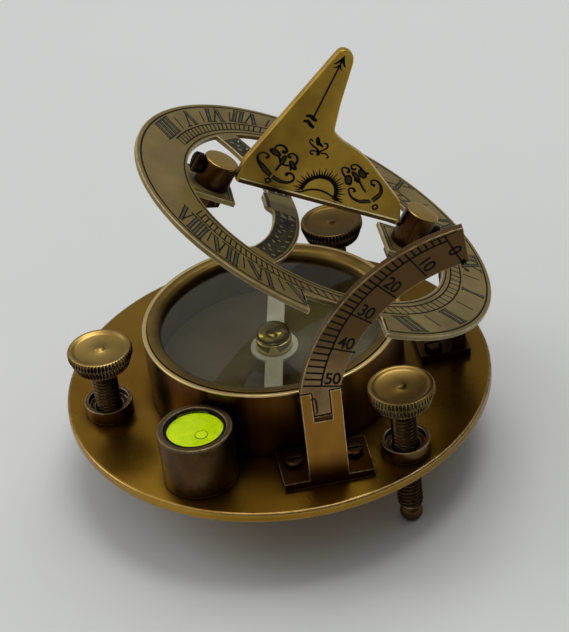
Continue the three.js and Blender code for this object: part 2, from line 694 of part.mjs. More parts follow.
function levelCup() {
  const boreRadius = CUP_RADIUS - CUP_WALL;
  return turned([
    [0, UNDER_SCREW_GRIP + CLEARANCE],
    [UNDER_SCREW_RADIUS + CLEARANCE, UNDER_SCREW_GRIP + CLEARANCE],
    [UNDER_SCREW_RADIUS + CLEARANCE, 0],
    [CUP_RADIUS, 0],
    [CUP_RADIUS, CUP_HEIGHT - CUP_BEVEL],
    [CUP_RADIUS - CUP_BEVEL, CUP_HEIGHT],
    [boreRadius + CUP_BEVEL, CUP_HEIGHT],
    [boreRadius, CUP_HEIGHT - CUP_BEVEL],
    [boreRadius, CUP_FLOOR],
    [0, CUP_FLOOR],
  ], MEDIUM_FACETS);
}
addPiece(level, 'level_cup', levelCup(), 'darkBrass');

function levelVial() {
  return turned([
    [0, VIAL_TOP - VIAL_ROOF],
    [VIAL_RADIUS - VIAL_WALL, VIAL_TOP - VIAL_ROOF],
    [VIAL_RADIUS - VIAL_WALL, CUP_FLOOR],
    [VIAL_RADIUS, CUP_FLOOR],
    [VIAL_RADIUS, VIAL_TOP - VIAL_BEVEL],
    [VIAL_RADIUS - VIAL_BEVEL, VIAL_TOP],
    [0, VIAL_TOP],
  ], MEDIUM_FACETS);
}
addPiece(level, 'level_vial', levelVial(), 'clearGlass');
addPiece(
  level,
  'level_liquid',
  rod(VIAL_RADIUS - VIAL_WALL - CLEARANCE, CUP_FLOOR, VIAL_TOP - VIAL_ROOF - CLEARANCE, MEDIUM_FACETS),
  'levelLiquid',
);

// The arc's bracket is a bent strip: a wide foot screwed to the plate and a slotted upright
const arcBracket = addGroup(onPlate, STRIP_CENTRE_X, ARC_PLANE_Y, 0);
const arcPinHeight = STRIP_HEIGHT - ARC_PIN_DROP;

function arcPinHole() {
  const reach = STRIP_WIDTH / 2 + OVERRUN;
  const bore = alongX(rod(ARC_PIN_RADIUS + FINE_CLEARANCE, -reach, reach, TINY_FACETS));
  return bore.translate(0, 0, arcPinHeight);
}

function stripBracket() {
  const halfThickness = STRIP_THICKNESS / 2;
  const halfSlot = STRIP_SLOT_WIDTH / 2;
  const front = -halfThickness;
  const upright = block([-STRIP_WIDTH / 2, STRIP_WIDTH / 2], [front, halfThickness], [0, STRIP_HEIGHT]);
  const foot = block(
    [-STRIP_FOOT_WIDTH / 2, STRIP_FOOT_WIDTH / 2],
    [front, front + STRIP_FOOT_DEPTH],
    [0, STRIP_THICKNESS],
  );
  const fillet = new THREE.Shape();
  fillet.moveTo(halfThickness, STRIP_THICKNESS);
  fillet.lineTo(halfThickness + STRIP_BEND_RADIUS, STRIP_THICKNESS);
  fillet.absarc(
    halfThickness + STRIP_BEND_RADIUS,
    STRIP_THICKNESS + STRIP_BEND_RADIUS,
    STRIP_BEND_RADIUS,
    -QUARTER_TURN,
    -2 * QUARTER_TURN,
    true,
  );
  const bendSettings = { depth: STRIP_WIDTH, bevelEnabled: false, curveSegments: CORNER_FACETS };
  const bend = new THREE.ExtrudeGeometry(fillet, bendSettings)
    .rotateX(QUARTER_TURN)
    .rotateZ(QUARTER_TURN)
    .translate(-STRIP_WIDTH / 2, 0, 0);
  const slot = block(
    [-halfSlot, halfSlot],
    [-OVERRUN, OVERRUN],
    [STRIP_HEIGHT - STRIP_SLOT_DEPTH, STRIP_HEIGHT + OVERRUN],
  );
  const screwHole = (side) => (
    rod(BRACKET_SCREW_RADIUS + CLEARANCE, -OVERRUN, STRIP_THICKNESS + OVERRUN, TINY_FACETS)
      .translate((side * STRIP_SCREW_SPACING) / 2, STRIP_SCREW_SETBACK, 0)
  );
  return cut(joined(upright, foot, bend), slot, arcPinHole(), screwHole(-1), screwHole(1));
}
addPiece(arcBracket, 'arc_bracket', stripBracket(), 'agedBrass');

function arcPin() {
  const halfLength = STRIP_WIDTH / 2 + ARC_PIN_PROUD;
  return alongX(rod(ARC_PIN_RADIUS, -halfLength, halfLength, TINY_FACETS)).translate(0, 0, arcPinHeight);
}
addPiece(arcBracket, 'arc_pin', arcPin(), 'darkBrass');

// The arc is part of a flat ring centred on the hour ring's hinge, with a tongue into the bracket's slot
function latitudeArc() {
  const outerFoot = Math.asin(ARC_FOOT_RISE / ARC_OUTER_RADIUS);
  const innerFoot = Math.asin(ARC_FOOT_RISE / ARC_INNER_RADIUS);
  const end = Math.PI - radians(ARC_TOP_ANGLE);
  const outline = new THREE.Shape();
  outline.absarc(0, 0, ARC_OUTER_RADIUS, Math.PI - outerFoot, end, true);
  outline.absarc(0, 0, ARC_INNER_RADIUS, end, Math.PI - innerFoot, false);
  const band = uprightSheet(outline, ARC_THICKNESS, ARC_FACETS);
  band.translate(HINGE_X - STRIP_CENTRE_X, 0, HINGE_HEIGHT);
  const halfTongue = STRIP_SLOT_WIDTH / 2 - CLEARANCE;
  const tongue = block(
    [-halfTongue, halfTongue],
    [-ARC_THICKNESS / 2, ARC_THICKNESS / 2],
    [arcPinHeight - ARC_TONGUE_REACH, STRIP_HEIGHT + STRIP_SLOT_WIDTH / 2],
  );
  return cut(joined(band, tongue), arcPinHole());
}
addPiece(arcBracket, 'latitude_arc', latitudeArc(), 'ringBrass');

function bracketScrew(name, { x, y }, seatHeight) {
  const screw = slottedScrew({
    shankRadius: BRACKET_SCREW_RADIUS,
    shankLength: seatHeight + PLATE_THICKNESS,
    headRadius: BRACKET_HEAD_RADIUS,
    headHeight: BRACKET_HEAD_HEIGHT,
  });
  addPiece(onPlate, name, screw, 'darkBrass').position.set(x, y, seatHeight);
}
stripScrewCentres.forEach((centre, i) => bracketScrew(`arc_bracket_screw_${i + 1}`, centre, STRIP_THICKNESS));
hingeScrewCentres.forEach((centre, i) => bracketScrew(`hinge_screw_${i + 1}`, centre, HINGE_FOOT_THICKNESS));

// The ring's hinge bracket: a foot plate and an upright whose two round-topped ears hold the pin
const hingeBracket = addGroup(onPlate, HINGE_X, 0, 0);

function hingePinHole() {
  const reach = EAR_HALF_SPAN + OVERRUN;
  return alongY(rod(HINGE_PIN_RADIUS + CLEARANCE, -reach, reach, SMALL_FACETS));
}

function ringHingeBracket() {
  const foot = block(
    [-HINGE_FOOT_BACK, HINGE_FOOT_FRONT],
    [-HINGE_FOOT_HALF_WIDTH, HINGE_FOOT_HALF_WIDTH],
    [0, HINGE_FOOT_THICKNESS],
  );
  const ear = new THREE.Shape();
  ear.moveTo(-EAR_HALF_DEPTH, 0);
  ear.lineTo(EAR_HALF_DEPTH, 0);
  ear.absarc(0, HINGE_HEIGHT, EAR_HALF_DEPTH, 0, 2 * QUARTER_TURN, false);
  const upright = uprightSheet(ear, 2 * EAR_HALF_SPAN, TINY_FACETS);
  const gap = block(
    [-OVERRUN, OVERRUN],
    [-EAR_GAP_HALF, EAR_GAP_HALF],
    [HINGE_HEIGHT - EAR_SLOT_DROP, HINGE_HEIGHT + OVERRUN],
  );
  const screwHole = ({ x, y }) => (
    rod(BRACKET_SCREW_RADIUS + CLEARANCE, -OVERRUN, HINGE_FOOT_THICKNESS + OVERRUN, TINY_FACETS)
      .translate(x - HINGE_X, y, 0)
  );
  return cut(
    joined(foot, upright),
    gap,
    hingePinHole().translate(0, 0, HINGE_HEIGHT),
    ...hingeScrewCentres.map(screwHole),
  );
}
addPiece(hingeBracket, 'ring_hinge_bracket', ringHingeBracket(), 'agedBrass');

function ringHingePin() {
  const headEnd = EAR_HALF_SPAN + HINGE_PIN_HEAD_LENGTH;
  return alongY(turned([
    [0, -headEnd],
    [HINGE_PIN_HEAD_RADIUS, -headEnd],
    [HINGE_PIN_HEAD_RADIUS, -EAR_HALF_SPAN],
    [HINGE_PIN_RADIUS, -EAR_HALF_SPAN],
    [HINGE_PIN_RADIUS, EAR_HALF_SPAN],
    [HINGE_PIN_HEAD_RADIUS, EAR_HALF_SPAN],
    [HINGE_PIN_HEAD_RADIUS, headEnd],
    [0, headEnd],
  ], SMALL_FACETS)).translate(0, 0, HINGE_HEIGHT);
}
addPiece(hingeBracket, 'ring_hinge_pin', ringHingePin(), 'darkBrass');

// Everything that tilts with the hour ring hangs on the hinge axis, turned to the rest tilt
const ringFrame = addGroup(hingeBracket, 0, 0, HINGE_HEIGHT);
ringFrame.rotation.y = radians(RING_TILT);

const leafTop = RING_LIFT - RING_THICKNESS - CLEARANCE;

function ringHingeLeaf() {
  const halfKnuckle = EAR_GAP_HALF - CLEARANCE;
  const knuckle = alongY(rod(KNUCKLE_RADIUS, -halfKnuckle, halfKnuckle, SMALL_FACETS));
  const neck = block([-EAR_HALF_DEPTH, EAR_HALF_DEPTH], [-halfKnuckle, halfKnuckle], [0, leafTop]);
  const flange = block(
    [-LEAF_HALF_LENGTH, LEAF_HALF_LENGTH],
    [-LEAF_HALF_WIDTH, LEAF_HALF_WIDTH],
    [leafTop - LEAF_THICKNESS, leafTop],
  );
  const rivetHole = (side) => (
    rod(RIVET_RADIUS + CLEARANCE, -OVERRUN, leafTop + OVERRUN, TINY_FACETS)
      .translate(0, side * RIVET_HALF_SPACING, 0)
  );
  return cut(joined(knuckle, neck, flange), hingePinHole(), rivetHole(-1), rivetHole(1));
}
addPiece(ringFrame, 'ring_hinge_leaf', ringHingeLeaf(), 'agedBrass');

function leafRivet() {
  const headTop = leafTop - LEAF_THICKNESS - CLEARANCE;
  return turned([
    [0, headTop - RIVET_HEAD_HEIGHT],
    [RIVET_HEAD_RADIUS, headTop - RIVET_HEAD_HEIGHT],
    [RIVET_HEAD_RADIUS, headTop],
    [RIVET_RADIUS, headTop],
    [RIVET_RADIUS, RING_LIFT],
    [0, RING_LIFT],
  ], TINY_FACETS);
}
[-1, 1].forEach((side, i) => {
  addPiece(ringFrame, `leaf_rivet_${i + 1}`, leafRivet(), 'darkBrass').position.y = side * RIVET_HALF_SPACING;
});

// The hour ring's own frame has its origin at the middle of the ring, on its upper face
const ringTop = addGroup(ringFrame, -RING_OFFSET, 0, RING_LIFT);
const ringLayer = [-RING_THICKNESS, 0];
const throughRing = [-RING_THICKNESS - OVERRUN, OVERRUN];

// The cross bar is a bow between the two halves of the ring, so it is cut from a ring of its own
function ringWeb() {
  const bow = turnedRing(
    WEB_RADIUS - WEB_WIDTH / 2,
    WEB_RADIUS + WEB_WIDTH / 2,
    ...ringLayer,
    LARGE_FACETS,
  ).translate(WEB_MIDDLE_X - WEB_RADIUS, 0, 0);
  const reach = WEB_RADIUS + WEB_WIDTH;
  const inside = fromSolid(toSolid(bow).intersect(toSolid(rod(RING_OFFSET, ...throughRing, LARGE_FACETS))));
  const morningHalf = block(
    [WEB_MIDDLE_X - 2 * reach, WEB_MIDDLE_X - WEB_RADIUS],
    [-reach, reach],
    throughRing,
  );
  return cut(inside, morningHalf);
}

function hourRing() {
  const band = turnedRing(RING_INNER_RADIUS, RING_OUTER_RADIUS, ...ringLayer, LARGE_FACETS);
  const tabSides = [-TAB_HALF_WIDTH, TAB_HALF_WIDTH];
  const morningTab = block([-RING_OFFSET, MORNING_POST_X + MORNING_TAB_OVERHANG], tabSides, ringLayer);
  const noonTab = block([NOON_POST_X - NOON_TAB_OVERHANG, RING_OFFSET], tabSides, ringLayer);
  const notch = block(
    [NOTCH_MORNING_X, NOTCH_NOON_X],
    [-RING_OUTER_RADIUS - OVERRUN, NOTCH_FLOOR_Y],
    throughRing,
  );
  const spigotHole = (x) => (
    rod(POST_SPIGOT_RADIUS + CLEARANCE, ...throughRing, SMALL_FACETS).translate(x, 0, 0)
  );
  const rivetHole = (side) => (
    rod(RIVET_RADIUS + CLEARANCE, ...throughRing, TINY_FACETS)
      .translate(RING_OFFSET, side * RIVET_HALF_SPACING, 0)
  );
  return cut(
    joined(band, ringWeb(), morningTab, noonTab),
    notch,
    spigotHole(MORNING_POST_X),
    spigotHole(NOON_POST_X),
    rivetHole(-1),
    rivetHole(1),
  );
}
addPiece(ringTop, 'hour_ring', hourRing(), 'ringBrass');

// Each post stands on the ring, its spigot runs down into a nut, and a cross hole takes the pivot screw
const spigotEnd = -RING_THICKNESS - CLEARANCE - NUT_HEIGHT - POST_SPIGOT_PROUD;

function gnomonPost() {
  const post = turned([
    [0, spigotEnd],
    [POST_SPIGOT_RADIUS, spigotEnd],
    [POST_SPIGOT_RADIUS, CLEARANCE],
    [POST_RADIUS, CLEARANCE],
    [POST_RADIUS, POST_HEIGHT - POST_BEVEL],
    [POST_RADIUS - POST_BEVEL, POST_HEIGHT],
    [0, POST_HEIGHT],
  ], MEDIUM_FACETS);
  const reach = POST_RADIUS + OVERRUN;
  const crossHole = alongX(rod(PIVOT_SCREW_RADIUS + CLEARANCE, -reach, reach, SMALL_FACETS));
  return cut(post, crossHole.translate(0, 0, PIVOT_HEIGHT));
}

function postNut() {
  const cornerRadius = NUT_ACROSS_FLATS / Math.sqrt(3);
  const top = -RING_THICKNESS - CLEARANCE;
  const hexagon = rod(cornerRadius, top - NUT_HEIGHT, top, NUT_SIDES);
  const boreBottom = top - NUT_HEIGHT - OVERRUN;
  const bore = rod(POST_SPIGOT_RADIUS + CLEARANCE, boreBottom, top + OVERRUN, SMALL_FACETS);
  return cut(hexagon, bore);
}

// The pivot screw runs through its post to a fine point that enters the gnomon's end
function pivotScrew(tipLength) {
  const bodyLength = 2 * POST_RADIUS + CLEARANCE;
  const body = slottedScrew({
    shankRadius: PIVOT_SCREW_RADIUS,
    shankLength: bodyLength,
    headRadius: PIVOT_HEAD_RADIUS,
    headHeight: PIVOT_HEAD_HEIGHT,
  });
  return joined(body, rod(PIVOT_TIP_RADIUS, -bodyLength - tipLength, -bodyLength + CLEARANCE, TINY_FACETS));
}

const postSets = [
  { name: 'morning', x: MORNING_POST_X, inward: 1 },
  { name: 'noon', x: NOON_POST_X, inward: -1 },
];
for (const { name, x, inward } of postSets) {
  const post = addGroup(ringTop, x, 0, 0);
  addPiece(post, `gnomon_post_${name}`, gnomonPost(), 'darkBrass');
  addPiece(post, `post_nut_${name}`, postNut(), 'darkBrass');
  const tipLength = GNOMON_END_GAP + PIVOT_TIP_REACH;
  const screw = addPiece(post, `gnomon_pivot_${name}`, pivotScrew(tipLength), 'darkBrass');
  screw.position.set(-inward * (POST_RADIUS + CLEARANCE), 0, PIVOT_HEIGHT);
  screw.rotation.y = -inward * QUARTER_TURN;
}

// The gnomon is sawn from sheet: a low plate that leans back from noon and rises to a tall spire
function gnomon() {
  const points = GNOMON_OUTLINE_SHARES.map(([alongShare, upShare]) => new THREE.Vector2(
    GNOMON_MORNING_X + alongShare * GNOMON_LENGTH,
    GNOMON_FOOT_GAP - PIVOT_HEIGHT + upShare * GNOMON_HEIGHT,
  ));
  const outline = roundedOutline(points, GNOMON_CORNER_RADIUS);
  const plate = uprightSheet(outline, GNOMON_THICKNESS, CORNER_FACETS);
  const holeRadius = PIVOT_TIP_RADIUS + FINE_CLEARANCE;
  const holeDepth = PIVOT_TIP_REACH + CLEARANCE;
  const morningHole = alongX(rod(
    holeRadius,
    GNOMON_MORNING_X - OVERRUN,
    GNOMON_MORNING_X + holeDepth,
    TINY_FACETS,
  ));
  const noonHole = alongX(rod(
    holeRadius,
    GNOMON_NOON_X - holeDepth,
    GNOMON_NOON_X + OVERRUN,
    TINY_FACETS,
  ));
  return cut(plate, morningHole, noonHole);
}

// A polygon whose corners are replaced by short curves of about the given radius
function roundedOutline(points, radius) {
  const shape = new THREE.Shape();
  points.forEach((corner, i) => {
    const before = points[(i + points.length - 1) % points.length];
    const after = points[(i + 1) % points.length];
    const reach = (other) => Math.min(radius, corner.distanceTo(other) / 2);
    const start = corner.clone().lerp(before, reach(before) / corner.distanceTo(before));
    const finish = corner.clone().lerp(after, reach(after) / corner.distanceTo(after));
    if (i === 0) {
      shape.moveTo(start.x, start.y);
    } else {
      shape.lineTo(start.x, start.y);
    }
    shape.quadraticCurveTo(corner.x, corner.y, finish.x, finish.y);
  });
  return shape;
}
addPiece(addGroup(ringTop, 0, 0, PIVOT_HEIGHT), 'gnomon', gnomon(), 'polishedBrass');

export default model;
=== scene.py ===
# %% [markdown]
# A sundial compass is a small brass instrument that folds. A round base plate stands on three levelling
# screws. It carries a drum with a magnetic needle under glass, a bubble level, and an hour ring that hangs
# on a hinge and is held at the user's latitude by a graduated arc. A sawn gnomon stands on the ring.
# The engineering model gives every piece its place and its motion. This lesson gives each its surface.

import json
import math

import bmesh
import bpy
import mathutils
import numpy as np
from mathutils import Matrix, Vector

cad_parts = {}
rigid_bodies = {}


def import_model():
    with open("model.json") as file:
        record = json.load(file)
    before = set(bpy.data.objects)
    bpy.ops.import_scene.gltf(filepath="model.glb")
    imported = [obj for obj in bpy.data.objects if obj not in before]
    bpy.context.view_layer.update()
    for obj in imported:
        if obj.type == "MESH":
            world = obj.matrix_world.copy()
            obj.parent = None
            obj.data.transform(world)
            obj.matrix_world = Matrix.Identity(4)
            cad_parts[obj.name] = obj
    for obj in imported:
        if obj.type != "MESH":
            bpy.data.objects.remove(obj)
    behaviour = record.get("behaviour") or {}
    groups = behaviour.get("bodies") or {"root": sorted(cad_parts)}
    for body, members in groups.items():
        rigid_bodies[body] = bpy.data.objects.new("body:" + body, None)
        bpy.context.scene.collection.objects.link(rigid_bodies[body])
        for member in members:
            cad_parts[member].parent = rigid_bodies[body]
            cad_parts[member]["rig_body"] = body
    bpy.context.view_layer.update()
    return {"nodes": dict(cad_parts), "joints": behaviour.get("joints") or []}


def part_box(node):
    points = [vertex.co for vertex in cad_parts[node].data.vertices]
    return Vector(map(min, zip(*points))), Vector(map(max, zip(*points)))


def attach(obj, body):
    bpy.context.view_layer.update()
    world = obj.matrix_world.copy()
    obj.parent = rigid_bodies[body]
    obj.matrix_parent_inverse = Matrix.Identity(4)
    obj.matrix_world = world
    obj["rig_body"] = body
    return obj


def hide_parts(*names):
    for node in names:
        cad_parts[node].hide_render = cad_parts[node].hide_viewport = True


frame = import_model()
plain_materials = len(bpy.data.materials)
print("pieces in the engineering model:", len(frame["nodes"]))

# %% [markdown]
# Lengths below are millimetres, as on a workshop drawing, and one factor turns them into Blender's metres.
# Places are read from the loaded model wherever it can give them, so a new piece lands on what carries it.

# %% Units and places
MM = 0.001
TURN = 2 * math.pi
UPRIGHT = np.eye(3)
joints = {joint["name"]: joint for joint in frame["joints"]}


def node_box(node):
    """The lowest and the highest corner of a piece, in millimetres."""
    low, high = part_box(node)
    return np.array(low) / MM, np.array(high) / MM


def seat_of(node):
    """The middle of a piece seen from above, at the height of its lowest point."""
    low, high = node_box(node)
    return np.array([(low[0] + high[0]) / 2, (low[1] + high[1]) / 2, low[2]])


PLATE_TOP = node_box("base_plate")[1][2]
PLATE_CENTRE = np.array([0, 0, PLATE_TOP])
print("plate top stands at", round(PLATE_TOP, 2), "mm")

# %% [markdown]
# The hour ring and all that stands on it are tilted about the hinge. Their surfaces are drawn flat, with x
# towards the hinge, y across and z out of the ring, and then carried into place with three unit vectors.
# The latitude arc and the gnomon are drawn in the same way on their own upright planes.

# %% The tilted and upright drawing planes
RING_OFFSET = 38.5
RING_LIFT = 6.2
hinge = np.array(joints["ring_tilt"]["pos_m"]) / MM
ring_x = np.array(joints["gnomon_fold"]["axis"])
ring_y = np.array([0.0, 1.0, 0.0])
ring_z = np.cross(ring_x, ring_y)
RING_AXES = np.array([ring_x, ring_y, ring_z])
RING_CENTRE = hinge - RING_OFFSET * ring_x + RING_LIFT * ring_z
GNOMON_AXES = np.array([ring_x, ring_z, -ring_y])
ARC_AXES = np.array([[1.0, 0, 0], [0, 0, 1.0], [0, -1.0, 0]])
ARC_CENTRE = np.array([hinge[0], joints["arc_fold"]["pos_m"][1] / MM, hinge[2]])
print("ring centre", np.round(RING_CENTRE, 2), "hinge", np.round(hinge, 2))

# %% [markdown]
# Most solids here are surfaces over a grid of two parameters, and a few helpers make what they share:
# the faces of a grid, corners eased by a short curve, and a radius and height turned about an axis.
# Whole arrays are worked out at once, which is fast and keeps each formula on one line.

# %% Grids, eased corners and turned surfaces
CORNER_STEPS = 5
FINE_TURN = 144
SMALL_TURN = 96


def grid_faces(rows, columns, wrap_rows=False, wrap_columns=True):
    """Each cell of a grid joins a point, the next one along, and the same two in the next row."""
    row = np.arange(rows if wrap_rows else rows - 1)[:, None]
    column = np.arange(columns if wrap_columns else columns - 1)[None, :]
    next_row = (row + 1) % rows
    next_column = (column + 1) % columns
    corners = [
        row * columns + column,
        row * columns + next_column,
        next_row * columns + next_column,
        next_row * columns + column,
    ]
    return np.stack(corners, axis=-1).reshape(-1, 4)


def eased(corners, reach=0.25, closed=False):
    """Each corner becomes the curve (1-t)^2 before + 2t(1-t) corner + t^2 after, `reach` to either side."""
    corner = np.asarray(corners, float)
    before = np.roll(corner, 1, axis=0) - corner
    after = np.roll(corner, -1, axis=0) - corner
    before *= np.minimum(reach / np.linalg.norm(before, axis=1), 0.5)[:, None]
    after *= np.minimum(reach / np.linalg.norm(after, axis=1), 0.5)[:, None]
    if not closed:
        before[[0, -1]] = 0
        after[[0, -1]] = 0
    t = np.linspace(0, 1, CORNER_STEPS)[None, :, None]
    curve = corner[:, None] + (1 - t) ** 2 * before[:, None] + t**2 * after[:, None]
    curve = curve.reshape(-1, 2)
    if not closed:
        curve = curve[CORNER_STEPS - 1 : len(curve) - CORNER_STEPS + 1]
    return curve


def arc_points(radius, start, end, count=24, centre=(0, 0)):
    """Points on a circle between two angles in degrees."""
    angle = np.radians(np.linspace(start, end, count))
    return np.stack([centre[0] + radius * np.cos(angle), centre[1] + radius * np.sin(angle)], axis=1)


def turned_surface(radius, height, wrap_rows=False):
    """Row i and column a of the grid lie at (r cos a, r sin a, h), where r may change round the turn."""
    angle = np.arange(radius.shape[1]) * TURN / radius.shape[1]
    points = np.stack(
        [radius * np.cos(angle), radius * np.sin(angle), np.broadcast_to(height, radius.shape)], axis=-1
    )
    return points.reshape(-1, 3), grid_faces(*radius.shape, wrap_rows=wrap_rows)


print("faces in a turned band of three rows:", len(grid_faces(3, FINE_TURN)))

# %% [markdown]
# A mesh is put in place before it becomes an object, so every object stays at the origin, unturned.
# Doubled points at the poles are merged, faces are turned outwards, and edges sharper than a set angle
# stay crisp while the rest is shaded smooth.

# %% Meshes and pieces
SHARP_ANGLE = 34
FLAT_ANGLE = 1
MERGE_DISTANCE = 1e-6


def placed(points, centre, axes=UPRIGHT):
    """Points drawn on three axes, carried to their centre and turned from millimetres into metres."""
    return (np.asarray(points, float) @ axes + centre) * MM


def clean(mesh, from_solid=False):
    """Merges doubled points, turns the faces outwards and marks the sharp edges.

    The faces of an engineering solid already point outwards. Its flat triangles are dissolved instead."""
    work = bmesh.new()
    work.from_mesh(mesh)
    bmesh.ops.remove_doubles(work, verts=work.verts, dist=MERGE_DISTANCE)
    if from_solid:
        bmesh.ops.dissolve_limit(work, angle_limit=math.radians(FLAT_ANGLE), verts=work.verts,
                                 edges=work.edges)
    else:
        bmesh.ops.recalc_face_normals(work, faces=work.faces)
    work.to_mesh(mesh)
    work.free()
    mesh.shade_smooth()
    mesh.set_sharp_from_angle(angle=math.radians(SHARP_ANGLE))
    return mesh


def new_mesh(name, points, faces):
    """A clean mesh from its points, in metres, and its faces."""
    mesh = bpy.data.meshes.new(name)
    mesh.from_pydata(points, [], faces)
    return clean(mesh)


def in_scene(name, data):
    """Puts a mesh, a curve, a lamp or a camera into the scene as an object at the origin, unturned."""
    thing = bpy.data.objects.new(name, data)
    bpy.context.scene.collection.objects.link(thing)
    return thing


def add_piece(mesh, body, material, stands_for=()):
    """Makes a mesh a piece of the instrument: it rides a body, takes a material, and may replace nodes."""
    piece = in_scene(mesh.name, mesh)
    mesh.materials.clear()
    mesh.materials.append(material)
    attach(piece, body)
    if stands_for:
        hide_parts(*stands_for)
    return piece


def turned_mesh(name, profile, centre, axes=UPRIGHT, closed=False, facets=FINE_TURN):
    """A profile of radius and height carried round an axis."""
    profile = np.asarray(profile, float)
    radius = np.repeat(profile[:, :1], facets, axis=1)
    points, faces = turned_surface(radius, profile[:, 1:], wrap_rows=closed)
    return new_mesh(name, placed(points, centre, axes), faces)


print("edges sharper than", SHARP_ANGLE, "degrees stay crisp")

# %% [markdown]
# Old lacquered brass is never one colour. It is darker where fingers and polish don't reach, brighter on
# worn edges, and clouded all over. The material mixes two brass tones with a large soft noise, adds small
# tarnish spots, darkens the corners with dirt and painted shade, and brightens the edges with wear and
# painted highlights. A picture could be painted for each piece instead, but noise in space needs no
# unwrapping and fits every shape.

# %% Materials: node helpers
NOISE_ROUGHNESS = 0.6


def add_node(material, kind, operation=None, **inputs):
    """A new node of a kind, with its operation and its named inputs set."""
    node = material.node_tree.nodes.new(kind)
    if operation:
        node.operation = operation
    for name, value in inputs.items():
        node.inputs[name.replace("_", " ")].default_value = value
    return node


def wire(material, source, target):
    """Links an output socket to an input socket."""
    material.node_tree.links.new(source, target)


def blank_material(name):
    """A new material and its shader."""
    material = bpy.data.materials.new(name)
    material.use_nodes = True
    return material, material.node_tree.nodes["Principled BSDF"]


def srgb(tone):
    """A colour from 0 to 255 on screen, as the linear numbers that a shader takes."""
    value = np.array(tone) / 255
    linear = np.where(value <= 0.04045, value / 12.92, ((value + 0.055) / 1.055) ** 2.4)
    return (*linear, 1)


def whereabouts(material, source="Object"):
    """A point's place, or its normal, on the object's own axes."""
    return add_node(material, "ShaderNodeTexCoord").outputs[source]


def noise(material, scale, detail=4.0, stretch=(1, 1, 1)):
    """Noise over the object's own coordinates, which are metres, with `scale` in bumps per metre."""
    mapping = add_node(material, "ShaderNodeMapping", Scale=stretch)
    texture = add_node(material, "ShaderNodeTexNoise", Scale=scale, Detail=detail, Roughness=NOISE_ROUGHNESS)
    wire(material, whereabouts(material), mapping.inputs["Vector"])
    wire(material, mapping.outputs["Vector"], texture.inputs["Vector"])
    return texture.outputs["Fac"]


def spread(material, value, low, high, to_low=0.0, to_high=1.0):
    """Maps the part of a value between low and high onto a new range."""
    node = add_node(material, "ShaderNodeMapRange", From_Min=low, From_Max=high, To_Min=to_low,
                    To_Max=to_high)
    wire(material, value, node.inputs["Value"])
    return node.outputs["Result"]


def mixed(material, factor, first, second):
    """Blends two colours, either of which may be a socket or four numbers."""
    node = add_node(material, "ShaderNodeMix")
    node.data_type = "RGBA"
    for value, socket in ((factor, 0), (first, 6), (second, 7)):
        if isinstance(value, bpy.types.NodeSocket):
            wire(material, value, node.inputs[socket])
        else:
            node.inputs[socket].default_value = value
    return node.outputs[2]


print("mid grey on screen is", round(srgb((128, 128, 128))[0], 3), "in linear light")

# %% [markdown]
# Three more helpers give the surface itself some life. A bump turns a noise into fine grain. An edge is
# found where a rounded normal leaves the true one, and it brightens in patches, as handled metal wears, and
# as a painted highlight. A ramp along a direction gives one side or one height of a piece a tone of its own,
# which is painted light or shade.

# %% Materials: grain, worn edges and ramps
FULL_WEAR_AND_GLINT = 0.93
WEAR_AND_GLINT_PATCHES = 700
PATCH_RANGES = (0.36, 0.56, 0.35, 1.0)
BEVEL_SAMPLES = 4


def bumped(material, shader, height, strength, depth):
    """Lets a height tilt the surface, as if it rose and fell by a depth in millimetres."""
    bump = add_node(material, "ShaderNodeBump", Strength=strength, Distance=depth * MM)
    wire(material, height, bump.inputs["Height"])
    wire(material, bump.outputs["Normal"], shader.inputs["Normal"])


def wear_and_glint(material, reach, strength):
    """Rises where a bevelled normal leaves the true normal, which is along the edges, in uneven patches.

    The bright edge it marks is wear and painted highlight together.
    """
    bevel = add_node(material, "ShaderNodeBevel", Radius=reach * MM)
    bevel.samples = BEVEL_SAMPLES
    geometry = add_node(material, "ShaderNodeNewGeometry")
    dot = add_node(material, "ShaderNodeVectorMath", "DOT_PRODUCT")
    wire(material, bevel.outputs["Normal"], dot.inputs[0])
    wire(material, geometry.outputs["Normal"], dot.inputs[1])
    worn = spread(material, dot.outputs["Value"], 1.0, FULL_WEAR_AND_GLINT, 0.0, strength)
    patches = spread(material, noise(material, WEAR_AND_GLINT_PATCHES, 3.0), *PATCH_RANGES)
    both = add_node(material, "ShaderNodeMath", "MULTIPLY")
    wire(material, worn, both.inputs[0])
    wire(material, patches, both.inputs[1])
    return both.outputs["Value"]


def along(material, direction, low, high, source="Object"):
    """Nought below `low` and one beyond `high` along a direction, in millimetres unless it reads normals."""
    dot = add_node(material, "ShaderNodeVectorMath", "DOT_PRODUCT")
    dot.inputs[1].default_value = tuple(direction)
    wire(material, whereabouts(material, source), dot.inputs[0])
    unit = MM if source == "Object" else 1
    return spread(material, dot.outputs["Value"], low * unit, high * unit)


print("an edge is fully worn where its two normals are", round(math.degrees(math.acos(FULL_WEAR_AND_GLINT))),
      "degrees apart")

# %% [markdown]
# Every brass piece follows one recipe with tones of its own. Two tones cloud together, spots of tarnish lie
# over them, dirt and painted shade darken the hollows that ambient occlusion finds, and the edges are made
# bright by wear and by painted highlights. Roughness and a very fine bump follow finer noises. The plate
# has the fine circles that a lathe leaves instead.

# %% Materials: the brass recipe
CLOUD_RANGE = (0.34, 0.68)
MIDDLE_RANGE = (0.3, 0.7)
TARNISH_SPOTS = 620
SPOT_RANGES = (0.64, 0.8, 0.0, 0.3)
TURNING_CIRCLES = 9000
BRASS_GRAIN = 5200
GRAIN_DEPTH = 0.05
HOLLOW_REACH = 3.0
HOLLOW_RANGE = (0.3, 0.9)
HOLLOW_SAMPLES = 6
EDGE_GAIN = 1.7
FINER = 2.5
GLOSS_REACH = (0.03, 0.05)


